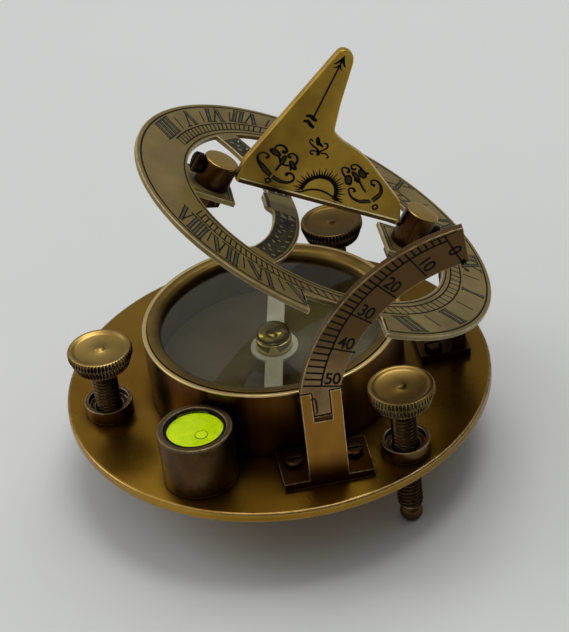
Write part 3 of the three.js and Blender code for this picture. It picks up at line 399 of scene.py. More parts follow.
def turning_marks(material, strength):
    """Fine circles round the upright axis: noise over the distance from it, for pieces turned there."""
    flat = add_node(material, "ShaderNodeVectorMath", "MULTIPLY")
    flat.inputs[1].default_value = (1, 1, 0)
    length = add_node(material, "ShaderNodeVectorMath", "LENGTH")
    texture = add_node(material, "ShaderNodeTexNoise", Scale=TURNING_CIRCLES, Detail=3.0)
    texture.noise_dimensions = "1D"
    wire(material, whereabouts(material), flat.inputs[0])
    wire(material, flat.outputs["Vector"], length.inputs[0])
    wire(material, length.outputs["Value"], texture.inputs["W"])
    return spread(material, texture.outputs["Fac"], *MIDDLE_RANGE, 0.0, strength)


def brass(name, bright, dull, dirt_and_shade, rough=0.3, edge=0.55, cloud=40, stretch=(1, 1, 1), turned=0.0,
          corner=0.8, light_and_shade_region=None, grain_strength=0.05, edge_tone=None, edge_reach=0.35, metal=1.0):
    """Brass whose tone clouds between bright and dull, with dirt and painted shade in its corners,
    and edges made bright by wear and by painted highlights.

    A region is a tone of painted light or shade, with where it starts:
    (tone, direction, low, high, source)."""
    material, shader = blank_material(name)
    clouds = spread(material, noise(material, cloud, 3.0, stretch), *CLOUD_RANGE)
    tone = mixed(material, clouds, srgb(dull), srgb(bright))
    spots = spread(material, noise(material, TARNISH_SPOTS, 3.0, stretch), *SPOT_RANGES)
    tone = mixed(material, spots, tone, srgb(dirt_and_shade))
    # A region's tone is painted light or shade along one direction.
    if light_and_shade_region:
        tone = mixed(material, along(material, *light_and_shade_region[1:]), tone, srgb(light_and_shade_region[0]))
    # Ambient occlusion darkens the hollows with the dirt tone: real dirt, and painted shade where less light
    # falls.
    hollow = add_node(material, "ShaderNodeAmbientOcclusion", Distance=HOLLOW_REACH * MM)
    hollow.samples = HOLLOW_SAMPLES
    shade = spread(material, hollow.outputs["AO"], *HOLLOW_RANGE, corner, 0.0)
    tone = mixed(material, shade, tone, srgb(dirt_and_shade))
    # The bright edge tone stands for wear and for a painted highlight together.
    polish_and_glint = (*np.minimum(1, EDGE_GAIN * np.array(srgb(bright)[:3])), 1)
    wear_and_glint_tone = srgb(edge_tone) if edge_tone else polish_and_glint
    tone = mixed(material, wear_and_glint(material, edge_reach, edge), tone, wear_and_glint_tone)
    wire(material, tone, shader.inputs["Base Color"])
    shader.inputs["Metallic"].default_value = metal
    finer_clouds = noise(material, cloud * FINER, 3.0, stretch)
    gloss = spread(material, finer_clouds, *MIDDLE_RANGE, rough - GLOSS_REACH[0], rough + GLOSS_REACH[1])
    wire(material, gloss, shader.inputs["Roughness"])
    grain = turning_marks(material, turned) if turned else noise(material, BRASS_GRAIN, 2.0, stretch)
    if grain_strength:
        bumped(material, shader, grain, grain_strength, GRAIN_DEPTH)
    return material


print("dirt is looked for", HOLLOW_REACH, "mm round each point")

# %% [markdown]
# The pieces of one instrument age differently. Knobs are handled, so their rims stay bright, and these rims,
# like the other bright edges, carry painted highlights as well. The drum is brown with a lip painted bright
# as a highlight, and the screws are nearly black. A region gives one side, or one height, of a piece another
# tone as painted light or shade: lit tops on the posts and the cup, shaded sides on the knobs, a plate that
# darkens to the right, an arc that darkens upwards and a bracket that darkens towards its foot. The far knob
# is a darker copy of the knob brass, as painted shade. A face whose polish has gone is less of a mirror, so
# its metal value is lower. Each finish is one call, so their tones are easy to compare and to change.

# %% Materials: brass finishes
UP = (0, 0, 1)
LIP_BAND = (0.42, 0.3)
drum_top = node_box("compass_drum")[1][2]
# The lip's bright band is a painted highlight.
lip_highlight = ((228, 202, 138), UP, drum_top - LIP_BAND[0], drum_top - LIP_BAND[1], "Object")
# Faces turned away from the top take a darker tone: painted shade on the knobs' sides.
shaded_sides = ((56, 38, 18), UP, 0.3, 0.0, "Normal")
# The plate darkens towards the right, a painted reflection, and its bright rim is wear with a painted
# highlight.
plate_brass = brass("plate_brass", (182, 141, 50), (140, 101, 26), (34, 19, 5), rough=0.25, cloud=18,
                    turned=0.5, corner=0.9, edge=1.0, light_and_shade_region=((130, 96, 27), (1, 0, 0), -16, 34, "Object"),
                    edge_tone=(255, 238, 188), edge_reach=0.7)
drum_brass = brass("drum_brass", (112, 74, 24), (60, 35, 9), (20, 10, 3), rough=0.3, cloud=90,
                   stretch=(1, 1, 0.04), corner=0.9, light_and_shade_region=lip_highlight)
bezel_brass = brass("bezel_brass", (144, 119, 62), (108, 86, 43), (48, 34, 16), rough=0.36, cloud=60,
                    edge=0.5)
# The knobs' bright rim tone is wear with a painted highlight.
knob_brass = brass("knob_brass", (182, 153, 86), (134, 107, 54), (24, 14, 6), rough=0.33, edge=0.8,
                   corner=1.0, light_and_shade_region=shaded_sides, edge_tone=(214, 190, 132), edge_reach=0.2)
# A darker copy of the knob brass for the far knob: painted shade.
far_knob_shaded_brass = brass("far_knob_shaded_brass", (122, 98, 50), (90, 68, 32), (20, 12, 5), rough=0.33, edge=0.8,
                       corner=1.0, light_and_shade_region=shaded_sides, edge_tone=(176, 150, 98), edge_reach=0.2)
thread_brass = brass("thread_brass", (58, 40, 21), (33, 21, 10), (12, 7, 3), rough=0.3, edge=0.8,
                     edge_tone=(140, 112, 70))
black_brass = brass("black_brass", (50, 35, 20), (28, 18, 10), (10, 6, 3), rough=0.34, edge=0.7)
dark_brass = brass("dark_brass", (92, 68, 38), (58, 40, 20), (16, 10, 5), rough=0.3, edge=0.8)
# The bosses' bright rim tone is wear with a painted highlight.
boss_brass = brass("boss_brass", (112, 85, 52), (70, 49, 27), (12, 7, 3), rough=0.3, edge=1.0, corner=1.0,
                   edge_tone=(226, 198, 150), edge_reach=0.5)
# The cup's up-facing rim takes a lighter tone: painted light.
cup_brass = brass("cup_brass", (90, 68, 42), (56, 38, 20), (20, 12, 5), rough=0.36, edge=0.95, cloud=160,
                  light_and_shade_region=((100, 82, 58), UP, 0.8, 0.95, "Normal"), edge_tone=(206, 188, 142), edge_reach=0.6)
# The ring's bright edge tone is wear with a painted highlight.
ring_brass = brass("ring_brass", (142, 122, 68), (116, 98, 52), (56, 40, 20), rough=0.38, edge=0.9, cloud=75,
                   edge_tone=(252, 230, 176), metal=0.35)
worn_brass = brass("worn_brass", (212, 198, 160), (176, 162, 126), (80, 66, 40), rough=0.4, cloud=200)
# The arc darkens towards its top: painted shade.
arc_brass = brass("arc_brass", (150, 124, 88), (112, 88, 58), (44, 28, 16), rough=0.4, edge=0.9, cloud=110,
                  light_and_shade_region=((90, 68, 40), UP, 48, 62, "Object"), edge_tone=(206, 178, 126))
# The bracket darkens towards its foot, as painted shade, and its bright edges carry a painted highlight.
strip_brass = brass("strip_brass", (152, 109, 44), (118, 79, 28), (40, 22, 8), rough=0.32, edge=1.0,
                    cloud=80, stretch=(1, 1, 0.3), corner=1.0, light_and_shade_region=((76, 46, 16), UP, 30, 23, "Object"),
                    edge_tone=(236, 214, 170))
# The posts' tops, facing along the ring's axis, take a light tone: painted light.
post_brass = brass("post_brass", (96, 66, 34), (54, 34, 16), (20, 12, 6), rough=0.27, edge=1.0, cloud=90,
                   light_and_shade_region=((204, 168, 88), ring_z, 0.75, 0.9, "Normal"), edge_tone=(226, 196, 126))
polished_brass = brass("polished_brass", (204, 167, 62), (166, 131, 42), (70, 46, 12), rough=0.32, edge=0.5,
                       cloud=110, stretch=(1, 1, 0.7), metal=0.7)
# A pale brass for the painted highlight along the gnomon's foot.
arris_highlight_brass = brass("arris_highlight_brass", (246, 222, 158), (226, 198, 130), (120, 90, 40), rough=0.25, cloud=200)
cap_brass = brass("cap_brass", (232, 212, 112), (206, 184, 80), (30, 22, 8), rough=0.07, edge=0.3,
                  grain_strength=0)
print("brass finishes made:", sum(material.name.endswith("_brass") for material in bpy.data.materials))

# %% [markdown]
# The etched lines are filled with black that has greyed with age. The needle is bright steel, the dial is a
# plain olive card, the glass is clear but a little tinted, and the level's liquid is a vivid yellow-green.
# Light that passes through the liquid comes back from below, so a weak glow of its own stands in for it.

# %% Materials: the rest
MATT_GRAIN = 2400
MATT_DEPTH = 0.1
MATT_CLOUDS = (0.35, 0.65)
MATT_REACH = 0.08
SMUDGE_SCALE = 60
SMUDGE_RANGE = (0.45, 0.75)
REFLECTION_TINT = (1.0, 0.92, 0.74, 1)


def painted(name, light, dark, rough, metallic=0.0, cloud=200, bump_strength=0.1, shine=0.5):
    """A matt coating, clouded between two close tones with a fine grain."""
    material, shader = blank_material(name)
    shader.inputs["Specular IOR Level"].default_value = shine
    shader.inputs["Metallic"].default_value = metallic
    clouds = spread(material, noise(material, cloud, 5.0), *MATT_CLOUDS)
    wire(material, mixed(material, clouds, srgb(dark), srgb(light)), shader.inputs["Base Color"])
    grain = noise(material, MATT_GRAIN, 2.0)
    gloss = spread(material, grain, *MIDDLE_RANGE, rough - MATT_REACH, rough + MATT_REACH)
    wire(material, gloss, shader.inputs["Roughness"])
    bumped(material, shader, grain, bump_strength, MATT_DEPTH)
    return material


def clear_material(name, tint, smudge, index=1.47):
    """Polished glass whose tint clouds a little, as old glass does when it is handled."""
    material, shader = blank_material(name)
    smudges = spread(material, noise(material, SMUDGE_SCALE, 3.0), *SMUDGE_RANGE)
    wire(material, mixed(material, smudges, srgb(tint), srgb(smudge)), shader.inputs["Base Color"])
    shader.inputs["Transmission Weight"].default_value = 1.0
    shader.inputs["Specular Tint"].default_value = REFLECTION_TINT
    shader.inputs["IOR"].default_value = index
    shader.inputs["Roughness"].default_value = 0.0
    return material


def glowing(name, light, dark, glow, strength=0.4):
    """A dyed liquid with a painted glow of its own, standing in for the light that passes through it."""
    material = painted(name, light, dark, 0.3, cloud=330, bump_strength=0.01, shine=0.1)
    shader = material.node_tree.nodes["Principled BSDF"]
    shader.inputs["Emission Color"].default_value = srgb(glow)
    shader.inputs["Emission Strength"].default_value = strength
    return material


etch_black = painted("etch_black", (26, 20, 13), (12, 9, 6), 0.6, shine=0.12)
etched_grey = painted("etched_grey", (92, 92, 76), (63, 62, 51), 0.5, 0.4, cloud=500, shine=0.3)
etched_olive = painted("etched_olive", (82, 70, 34), (56, 47, 22), 0.5, 0.3, cloud=500, shine=0.2)
band_dark = painted("band_dark", (62, 60, 46), (32, 31, 22), 0.45, 0.3, cloud=420, shine=0.25)
needle_steel = painted("needle_steel", (222, 222, 204), (202, 202, 184), 0.4, 0.2, cloud=160,
                       bump_strength=0.0)
dial_card = painted("dial_card", (103, 90, 42), (84, 72, 31), 0.62, cloud=60)
eye_white = painted("eye_white", (240, 240, 230), (222, 222, 208), 0.4)
clear_glass = clear_material("clear_glass", (250, 250, 240), (232, 228, 206))
level_clear = clear_material("level_clear", (252, 253, 240), (236, 244, 200), index=1.18)
# The level's liquid and bubble glow a little: painted light.
level_green = glowing("level_green", (214, 234, 6), (180, 212, 2), (196, 220, 0))
bubble_pale = glowing("bubble_pale", (226, 240, 60), (210, 230, 30), (206, 228, 20))
bubble_edge = glowing("bubble_edge", (150, 172, 6), (136, 158, 2), (120, 140, 0), 0.2)
print("finishes made in all:", len(bpy.data.materials) - plain_materials)

# %% [markdown]
# The base plate is one turned disc with eased edges. It could be drawn with its holes as rings of faces, but
# a boolean cut is nearer to the drill that made them. The holes for the three threaded bosses are real, so
# the underside shows the spigots too.

# %% Base plate
SIDES = ("morning", "near", "far")
FINE_DISC = 240
DRILL_FACETS = 64
DRILL_REACH = 5
BOSS_HOLE = 4.45


def settled(sketch, name):
    """The mesh that an object's curve or modifiers come to. The object itself is spent."""
    bpy.context.view_layer.update()
    depsgraph = bpy.context.evaluated_depsgraph_get()
    mesh = bpy.data.meshes.new_from_object(sketch.evaluated_get(depsgraph))
    bpy.data.objects.remove(sketch)
    mesh.name = name
    return mesh


def drilled(name, blank, tools):
    """A blank with each tool cut out of it by an exact boolean."""
    body = in_scene(name, blank)
    drills = [in_scene(tool.name, tool) for tool in tools]
    for drill in drills:
        modifier = body.modifiers.new("hole", "BOOLEAN")
        modifier.operation = "DIFFERENCE"
        modifier.solver = "EXACT"
        modifier.object = drill
    mesh = settled(body, name)
    for drill in drills:
        bpy.data.objects.remove(drill)
    return clean(mesh)


plate_radius = node_box("base_plate")[1][0]
plate_bottom = node_box("base_plate")[0][2] - PLATE_TOP
boss_centres = {side: seat_of(f"level_boss_{side}") for side in SIDES}
plate_profile = eased([[0, plate_bottom], [plate_radius, plate_bottom], [plate_radius, 0], [0, 0]],
                      reach=0.75)
plate_blank = turned_mesh("plate_blank", plate_profile, PLATE_CENTRE, facets=FINE_DISC)
hole_profile = [[0, -DRILL_REACH], [BOSS_HOLE, -DRILL_REACH], [BOSS_HOLE, DRILL_REACH], [0, DRILL_REACH]]
boss_holes = [turned_mesh(f"boss_hole_{side}", hole_profile, boss_centres[side], facets=DRILL_FACETS)
              for side in SIDES]
plate_mesh = drilled("engraved_plate", plate_blank, boss_holes)
add_piece(plate_mesh, "base", plate_brass, ["base_plate"])
print("plate faces:", len(plate_mesh.polygons))

# %% [markdown]
# The drum is one turned cup. Its lip stands as a thin bright line round the bezel, brightened by a painted
# highlight band in its material, with a dark groove between the two. The bezel is rounded like a bead and
# falls to a thin edge on the glass. All four pieces here are profiles turned about the plate's axis, which
# is how they were made.

# %% Compass drum, bezel, glass and dial
LIP_WALL = 1.15
LIP_GROOVE = 0.09
DRUM_BORE = 27.6
DRUM_FLOOR = 3
GLASS_LEDGE = 14.4
GLASS_TOP = 15.6
GLASS_RADIUS = 29.2
BEZEL_INNER = 26.45
BEZEL_TOP = 17.65
BEZEL_EDGE = 16.2
BEAD_POWER = 2.2
DIAL_RADIUS = 27.3
DIAL_BORE = 1.5
DIAL_TOP = 4
drum_radius = node_box("compass_drum")[1][0]
drum_height = drum_top - PLATE_TOP
drum_profile = eased([
    [0, 0], [drum_radius, 0], [drum_radius, drum_height], [drum_radius - LIP_WALL, drum_height],
    [drum_radius - LIP_WALL, GLASS_LEDGE], [DRUM_BORE, GLASS_LEDGE], [DRUM_BORE, DRUM_FLOOR],
    [0, DRUM_FLOOR],
], reach=0.3)
add_piece(turned_mesh("turned_drum", drum_profile, PLATE_CENTRE, facets=FINE_DISC), "base",
          drum_brass, ["compass_drum"])

bezel_outer = drum_radius - LIP_WALL - LIP_GROOVE
inward_share = np.linspace(0, 1, 12)
bead = np.stack([
    bezel_outer - (bezel_outer - BEZEL_INNER) * inward_share,
    BEZEL_EDGE + (BEZEL_TOP - BEZEL_EDGE) * np.sqrt(1 - inward_share**BEAD_POWER),
], axis=1)
bezel_profile = np.concatenate([[[BEZEL_INNER, GLASS_TOP], [bezel_outer, GLASS_TOP]], bead])
add_piece(turned_mesh("rounded_bezel", bezel_profile, PLATE_CENTRE, closed=True, facets=FINE_DISC), "base",
          bezel_brass, ["bezel_ring"])

glass_profile = eased([[0, GLASS_LEDGE], [GLASS_RADIUS, GLASS_LEDGE], [GLASS_RADIUS, GLASS_TOP],
                       [0, GLASS_TOP]], reach=0.15)
add_piece(turned_mesh("watch_glass", glass_profile, PLATE_CENTRE), "base", clear_glass,
          ["compass_glass"])

dial_profile = eased([[DIAL_BORE, DRUM_FLOOR], [DIAL_RADIUS, DRUM_FLOOR], [DIAL_RADIUS, DIAL_TOP],
                      [DIAL_BORE, DIAL_TOP]], reach=0.15, closed=True)
add_piece(turned_mesh("dial_disc", dial_profile, PLATE_CENTRE, closed=True), "base", dial_card,
          ["compass_dial"])
print("drum radius", round(drum_radius, 2), "height", round(drum_height, 2))

# %% [markdown]
# Flat pieces were sawn from sheet, so they are drawn as outlines: loops of points, the first one the edge
# and the others its windows. A flat curve fills them, and a small bevel gives every edge the soft line
# that filing and polishing leave.

# %% Sheet metal
EDGE_STEPS = 2


def reshaped(mesh, change):
    """A clean mesh whose points, as one array, have gone through a function."""
    points = np.zeros(3 * len(mesh.vertices), np.float32)
    mesh.vertices.foreach_get("co", points)
    mesh.vertices.foreach_set("co", change(points.reshape(-1, 3)).astype(np.float32).ravel())
    return clean(mesh)


def sheet_mesh(name, loops, thickness, edge, centre, axes):
    """Loops drawn in two dimensions, given a thickness and eased edges, then carried into place."""
    curve = bpy.data.curves.new(name, "CURVE")
    curve.dimensions = "2D"
    curve.fill_mode = "BOTH"
    curve.extrude = thickness / 2 - edge
    curve.bevel_depth = edge
    curve.bevel_resolution = EDGE_STEPS
    curve.offset = -edge
    for loop in loops:
        spline = curve.splines.new("POLY")
        spline.points.add(len(loop) - 1)
        level, weight = np.zeros((len(loop), 1)), np.ones((len(loop), 1))
        spline.points.foreach_set("co", np.hstack([loop, level, weight]).astype(np.float32).ravel())
        spline.use_cyclic_u = True
    return reshaped(settled(in_scene(name, curve), name), lambda points: placed(points, centre, axes))


def add_sheet(mesh, body, material, stands_for):
    """A sheet piece whose large faces keep their true normals, while the eased edges blend into them."""
    piece = add_piece(mesh, body, material, [stands_for])
    weighted = piece.modifiers.new("face weights", "WEIGHTED_NORMAL")
    weighted.keep_sharp = True


print("the edge of a sheet is rounded in", EDGE_STEPS, "extra steps")

# %% [markdown]
# The needle is a steel bar with a round eye. Its outline runs along the bar, round the eye and back, so half
# of it is drawn and the other half is the same half turned round. A pale washer lies on the eye.

# %% Needle
NEEDLE_HALF = 23
NEEDLE_HALF_WIDTH = 2.05
NEEDLE_POINT = 3
NEEDLE_AZIMUTH = 78.7
NEEDLE_EDGE = 0.1
EYE_RADIUS = 5.5
EYE_BORE = 3.2
WASHER = (4.25, 5.4)
WASHER_SUNK = 0.2
WASHER_PROUD = 0.06
eye_angle = math.degrees(math.asin(NEEDLE_HALF_WIDTH / EYE_RADIUS))
half_needle = np.concatenate([
    [[NEEDLE_HALF, 0], [NEEDLE_HALF - NEEDLE_POINT, NEEDLE_HALF_WIDTH]],
    arc_points(EYE_RADIUS, eye_angle, 180 - eye_angle, 40),
    [[NEEDLE_POINT - NEEDLE_HALF, NEEDLE_HALF_WIDTH]],
])
needle_loop = np.concatenate([half_needle, -half_needle])
needle_low, needle_high = node_box("compass_needle")
azimuth = math.radians(NEEDLE_AZIMUTH)
NEEDLE_AXES = np.array([[math.cos(azimuth), math.sin(azimuth), 0],
                        [-math.sin(azimuth), math.cos(azimuth), 0], [0, 0, 1]])
needle_middle = np.array([0, 0, (needle_low[2] + needle_high[2]) / 2])
needle_mesh = sheet_mesh("steel_needle", [needle_loop, arc_points(EYE_BORE, 0, 354, 60)],
                         needle_high[2] - needle_low[2], NEEDLE_EDGE, needle_middle, NEEDLE_AXES)
add_sheet(needle_mesh, "needle", needle_steel, "compass_needle")
washer_low = needle_high[2] - PLATE_TOP - WASHER_SUNK
washer_top = needle_high[2] - PLATE_TOP + WASHER_PROUD
washer_profile = eased([[WASHER[0], washer_low], [WASHER[1], washer_low], [WASHER[1], washer_top],
                        [WASHER[0], washer_top]], reach=0.05, closed=True)
washer_mesh = turned_mesh("bright_eye", washer_profile, PLATE_CENTRE, closed=True, facets=SMALL_TURN)
add_piece(washer_mesh, "needle", eye_white)
print("the needle is", 2 * NEEDLE_HALF, "mm long and", round(needle_high[2] - needle_low[2], 2), "mm thick")

# %% [markdown]
# The needle's bearing cap is turned in one: a skirt under the needle, a step on it and a bright dome. The
# dome's radius falls as the square root of a cosine, which is fuller at the shoulder than a half ball.

# %% Needle cap
CAP_RADIUS = 4.2
CAP_BORE = 1.5
CAP_BORE_TOP = 11.6
SKIRT = (7.4, 8.2)
SKIRT_RADIUS = 3.7
NECK_RADIUS = 2.9
NEEDLE_TOP = 8.8
STEP_TOP = NEEDLE_TOP + 2.3
GROOVE = 0.25
GROOVE_ENDS = (STEP_TOP + 0.15, STEP_TOP + 0.35)
DOME_FOOT = STEP_TOP + 0.5
DOME_RADIUS = 4.0
DOME_RISE = 1.9
cap_top = node_box("needle_cap")[1][2] - PLATE_TOP
dome_angle = np.linspace(0, math.pi / 2, 16)
dome_height = cap_top - DOME_RISE * (1 - np.sin(dome_angle))
dome = np.stack([DOME_RADIUS * np.cos(dome_angle) ** 0.5, dome_height], axis=1)
cap_profile = np.concatenate([
    eased([
        [0, CAP_BORE_TOP], [CAP_BORE, CAP_BORE_TOP], [CAP_BORE, SKIRT[0]], [SKIRT_RADIUS, SKIRT[0]],
        [SKIRT_RADIUS, SKIRT[1]], [NECK_RADIUS, SKIRT[1]], [NECK_RADIUS, NEEDLE_TOP],
        [CAP_RADIUS, NEEDLE_TOP], [CAP_RADIUS, STEP_TOP], [DOME_RADIUS - GROOVE, GROOVE_ENDS[0]],
        [DOME_RADIUS - GROOVE, GROOVE_ENDS[1]], [DOME_RADIUS, DOME_FOOT],
    ], reach=0.15),
    dome,
])
add_piece(turned_mesh("bearing_cap", cap_profile, PLATE_CENTRE, facets=SMALL_TURN), "needle",
          cap_brass, ["needle_cap"])
print("the cap's top is", round(cap_top, 2), "mm above the plate")

# %% [markdown]
# A levelling screw is a long threaded rod. A screw modifier could sweep it, but its ends would stay open.
# Here the surface is a cylinder whose radius falls with the distance from a helix: at height z and angle a
# it depends on z / pitch - a / turn, so the groove climbs one pitch in each turn. The knob above has two
# knurled tiers, where the radius ripples round the turn instead.

# %% Threads and knurls
THREAD_PITCH = 1.0
THREAD_DEPTH = 0.42
THREAD_ROWS = 8
THREAD_COLUMNS = 40
THREAD_FLANK = (1.25, 0.1)
KNURL_TEETH = 56
KNURL_DEPTH = 0.42
TOOTH_COLUMNS = 6
TOOTH_FLANK = (1.3, 0.15)


def toothed(phase, slope, flat):
    """A triangle wave made steeper by a slope and cut off flat at both ends: 0 outside, 1 inside."""
    return np.clip(slope * np.abs(2 * phase - 1) - flat, 0, 1)


def thread_mesh(name, radius, bottom, top, centre):
    """r = radius - depth * |triangle wave of (z / pitch - a / turn)|, with both ends closed at the axis."""
    rows = int((top - bottom) / THREAD_PITCH * THREAD_ROWS)
    turn_share = np.arange(THREAD_COLUMNS) / THREAD_COLUMNS
    height = np.linspace(bottom, top, rows)[:, None]
    phase = (height / THREAD_PITCH - turn_share) % 1
    taper = np.clip(np.minimum(height - bottom, top - height) / THREAD_PITCH, 0, 1)
    rod = radius - THREAD_DEPTH * (toothed(phase, *THREAD_FLANK) + (1 - taper) / 2)
    axis = np.zeros((1, THREAD_COLUMNS))
    points, faces = turned_surface(np.concatenate([axis, rod, axis]),
                                   np.concatenate([[[bottom]], height, [[top]]]))
    return new_mesh(name, placed(points, centre), faces)


def knurled_mesh(name, rows, centre):
    """r = row radius - depth * weight * tooth. A row is a radius, a height and a weight from 0 to 1."""
    rows = np.asarray(rows, float)
    phase = (np.arange(KNURL_TEETH * TOOTH_COLUMNS) / TOOTH_COLUMNS) % 1
    radius = rows[:, :1] - KNURL_DEPTH * rows[:, 2:] * toothed(phase, *TOOTH_FLANK)
    points, faces = turned_surface(np.maximum(radius, 0), rows[:, 1:2])
    return new_mesh(name, placed(points, centre), faces)


print("one pitch of thread has", THREAD_ROWS * THREAD_COLUMNS, "faces, and a knob", KNURL_TEETH, "teeth")

# %% [markdown]
# Bosses, screws, knobs and feet repeat three times, so one loop makes them all. Each knob is dished on top
# with a small raised centre and a bright rim, worn and with a painted highlight, over sides darkened by
# painted shade.

# %% Levelling screws
SCREW_RADIUS = 3.05
KNOB_RADIUS = 7.67
KNOB_TOP = 18.7
KNOB_BOTTOM = 13.8
THREAD_IN_KNOB = 0.5
knob_rows = [
    (0, KNOB_BOTTOM, 0), (6.1, KNOB_BOTTOM, 0), (6.35, 13.9, 0), (6.6, 14.15, 1), (7.25, 15.95, 1),
    (7.1, 16.15, 1), (6.95, 16.25, 0), (6.85, 16.35, 0), (6.95, 16.5, 0), (7.35, 16.6, 0), (7.6, 16.75, 1),
    (KNOB_RADIUS, 17.0, 1), (KNOB_RADIUS, 18.1, 1), (7.6, 18.35, 1), (7.4, 18.6, 0.3), (7.15, KNOB_TOP, 0),
    (6.7, KNOB_TOP, 0), (6.45, 18.6, 0), (6.1, 18.35, 0), (5.6, 18.22, 0), (3.0, 18.18, 0), (1.5, 18.2, 0),
    (1.15, 18.3, 0), (0.9, 18.5, 0), (0.5, 18.62, 0), (0, 18.65, 0),
]
BOSS_BORE = 3.2
SPIGOT = (4.2, -2.6)
BOSS_RADIUS = 5.7
BOSS_TOP = 3.5
RECESS = (4.7, 2.0)
boss_profile = eased([
    [BOSS_BORE, SPIGOT[1]], SPIGOT, [SPIGOT[0], 0], [BOSS_RADIUS, 0], [BOSS_RADIUS, BOSS_TOP],
    [RECESS[0], BOSS_TOP], RECESS, [BOSS_BORE, RECESS[1]],
], reach=0.22, closed=True)
BALL_RADIUS = 2.7
BALL_MIDDLE = 2.546
BALL_LATITUDES = (-70.5, 31.6)
FOOT_HEIGHT = 5.1
FOOT_TURN = 72
ball_latitude = np.radians(np.linspace(*BALL_LATITUDES, 18))
ball = np.stack([np.cos(ball_latitude), np.sin(ball_latitude)], axis=1) * BALL_RADIUS + [0, BALL_MIDDLE]
foot_profile = np.concatenate([
    [[0, 0]], ball, [[2.1, 4.4], [2.0, 4.7], [2.3, 4.85], [2.3, FOOT_HEIGHT], [0, FOOT_HEIGHT]],
])
for side in SIDES:
    floor_centre = boss_centres[side] * [1, 1, 0]
    centre = floor_centre + PLATE_CENTRE
    # The far knob takes the darker copy: painted shade.
    knob_finish = far_knob_shaded_brass if side == "far" else knob_brass
    add_piece(turned_mesh(f"threaded_boss_{side}", boss_profile, centre, closed=True), "base",
              boss_brass, [f"level_boss_{side}"])
    thread = thread_mesh(f"thread_{side}", SCREW_RADIUS, FOOT_HEIGHT - PLATE_TOP,
                         KNOB_BOTTOM + THREAD_IN_KNOB, centre)
    add_piece(thread, f"screw_{side}", thread_brass, [f"levelling_screw_{side}"])
    add_piece(knurled_mesh(f"knurled_knob_{side}", knob_rows, centre), f"screw_{side}",
              knob_finish, [f"thumb_knob_{side}"])
    add_piece(turned_mesh(f"ball_foot_{side}", foot_profile, floor_centre, facets=FOOT_TURN),
              f"foot_{side}", boss_brass, [f"foot_tip_{side}"])
print("levelling screws stand at", [np.round(boss_centres[side][:2], 1).tolist() for side in SIDES])

# %% [markdown]
# The level is a glass cell of liquid in a turned cup. A black ring of painted shade shows round the liquid
# where the gap would lie in shade, and the air bubble is a flat dome pressed against the glass, with a
# darker line where its edge bends the light. Every piece is turned, so one table of profiles makes them all.
# Faces that would be seen through one another keep a small gap, because two in one place flicker.

# %% Bubble level
CUP_RADIUS = 8.65
CUP_HEIGHT = 13.9
CUP_BORE = 7.05
CUP_FLOOR = 4.8
GAP_SHADE_BORE = 6.5
GAP_SHADE_TOP = CUP_HEIGHT - 0.2
VIAL_RADIUS = 6.8
VIAL_BORE = 6.55
VIAL_TOP = CUP_HEIGHT - 0.5
VIAL_GAP = 0.03
LIQUID_RADIUS = 6.52
LIQUID_TOP = VIAL_TOP - 0.45
CLEARANCE = 0.02
LIQUID_GAP = 0.1
BUBBLE_PLACE = (1.2, -1.9, 0)
BUBBLE_RADIUS = 1.4
BUBBLE_HEIGHT = 0.12
BUBBLE_TURN = 48
level_centre = seat_of("level_cup")
bubble_centre = level_centre + BUBBLE_PLACE
cup_profile = eased([
    [0, 0], [CUP_RADIUS, 0], [CUP_RADIUS, CUP_HEIGHT], [CUP_BORE, CUP_HEIGHT], [CUP_BORE, CUP_FLOOR],
    [0, CUP_FLOOR],
], reach=0.45)
# A black ring over the vial's edge: painted shade for the gap round the liquid.
gap_shade_profile = eased([
    [GAP_SHADE_BORE, VIAL_TOP + CLEARANCE], [CUP_BORE - CLEARANCE, VIAL_TOP + CLEARANCE],
    [CUP_BORE - CLEARANCE, GAP_SHADE_TOP], [GAP_SHADE_BORE, GAP_SHADE_TOP],
], reach=0.08, closed=True)
vial_profile = eased([
    [0, LIQUID_TOP + VIAL_GAP], [VIAL_BORE, LIQUID_TOP + VIAL_GAP], [VIAL_BORE, CUP_FLOOR],
    [VIAL_RADIUS, CUP_FLOOR], [VIAL_RADIUS, VIAL_TOP], [0, VIAL_TOP],
], reach=0.1)
liquid_profile = eased([[0, CUP_FLOOR + LIQUID_GAP], [LIQUID_RADIUS, CUP_FLOOR + LIQUID_GAP],
                        [LIQUID_RADIUS, LIQUID_TOP - LIQUID_GAP], [0, LIQUID_TOP - LIQUID_GAP]], reach=0.3)
bubble_profile = eased([[0, LIQUID_TOP - BUBBLE_HEIGHT], [BUBBLE_RADIUS, LIQUID_TOP - BUBBLE_HEIGHT],
                        [BUBBLE_RADIUS - 0.2, LIQUID_TOP - CLEARANCE], [0, LIQUID_TOP]], reach=0.05)
bubble_rim = [[BUBBLE_RADIUS, LIQUID_TOP - BUBBLE_HEIGHT], [BUBBLE_RADIUS + 0.16, LIQUID_TOP - LIQUID_GAP],
              [BUBBLE_RADIUS + 0.08, LIQUID_TOP - 0.01], [BUBBLE_RADIUS - 0.08, LIQUID_TOP - 0.01]]
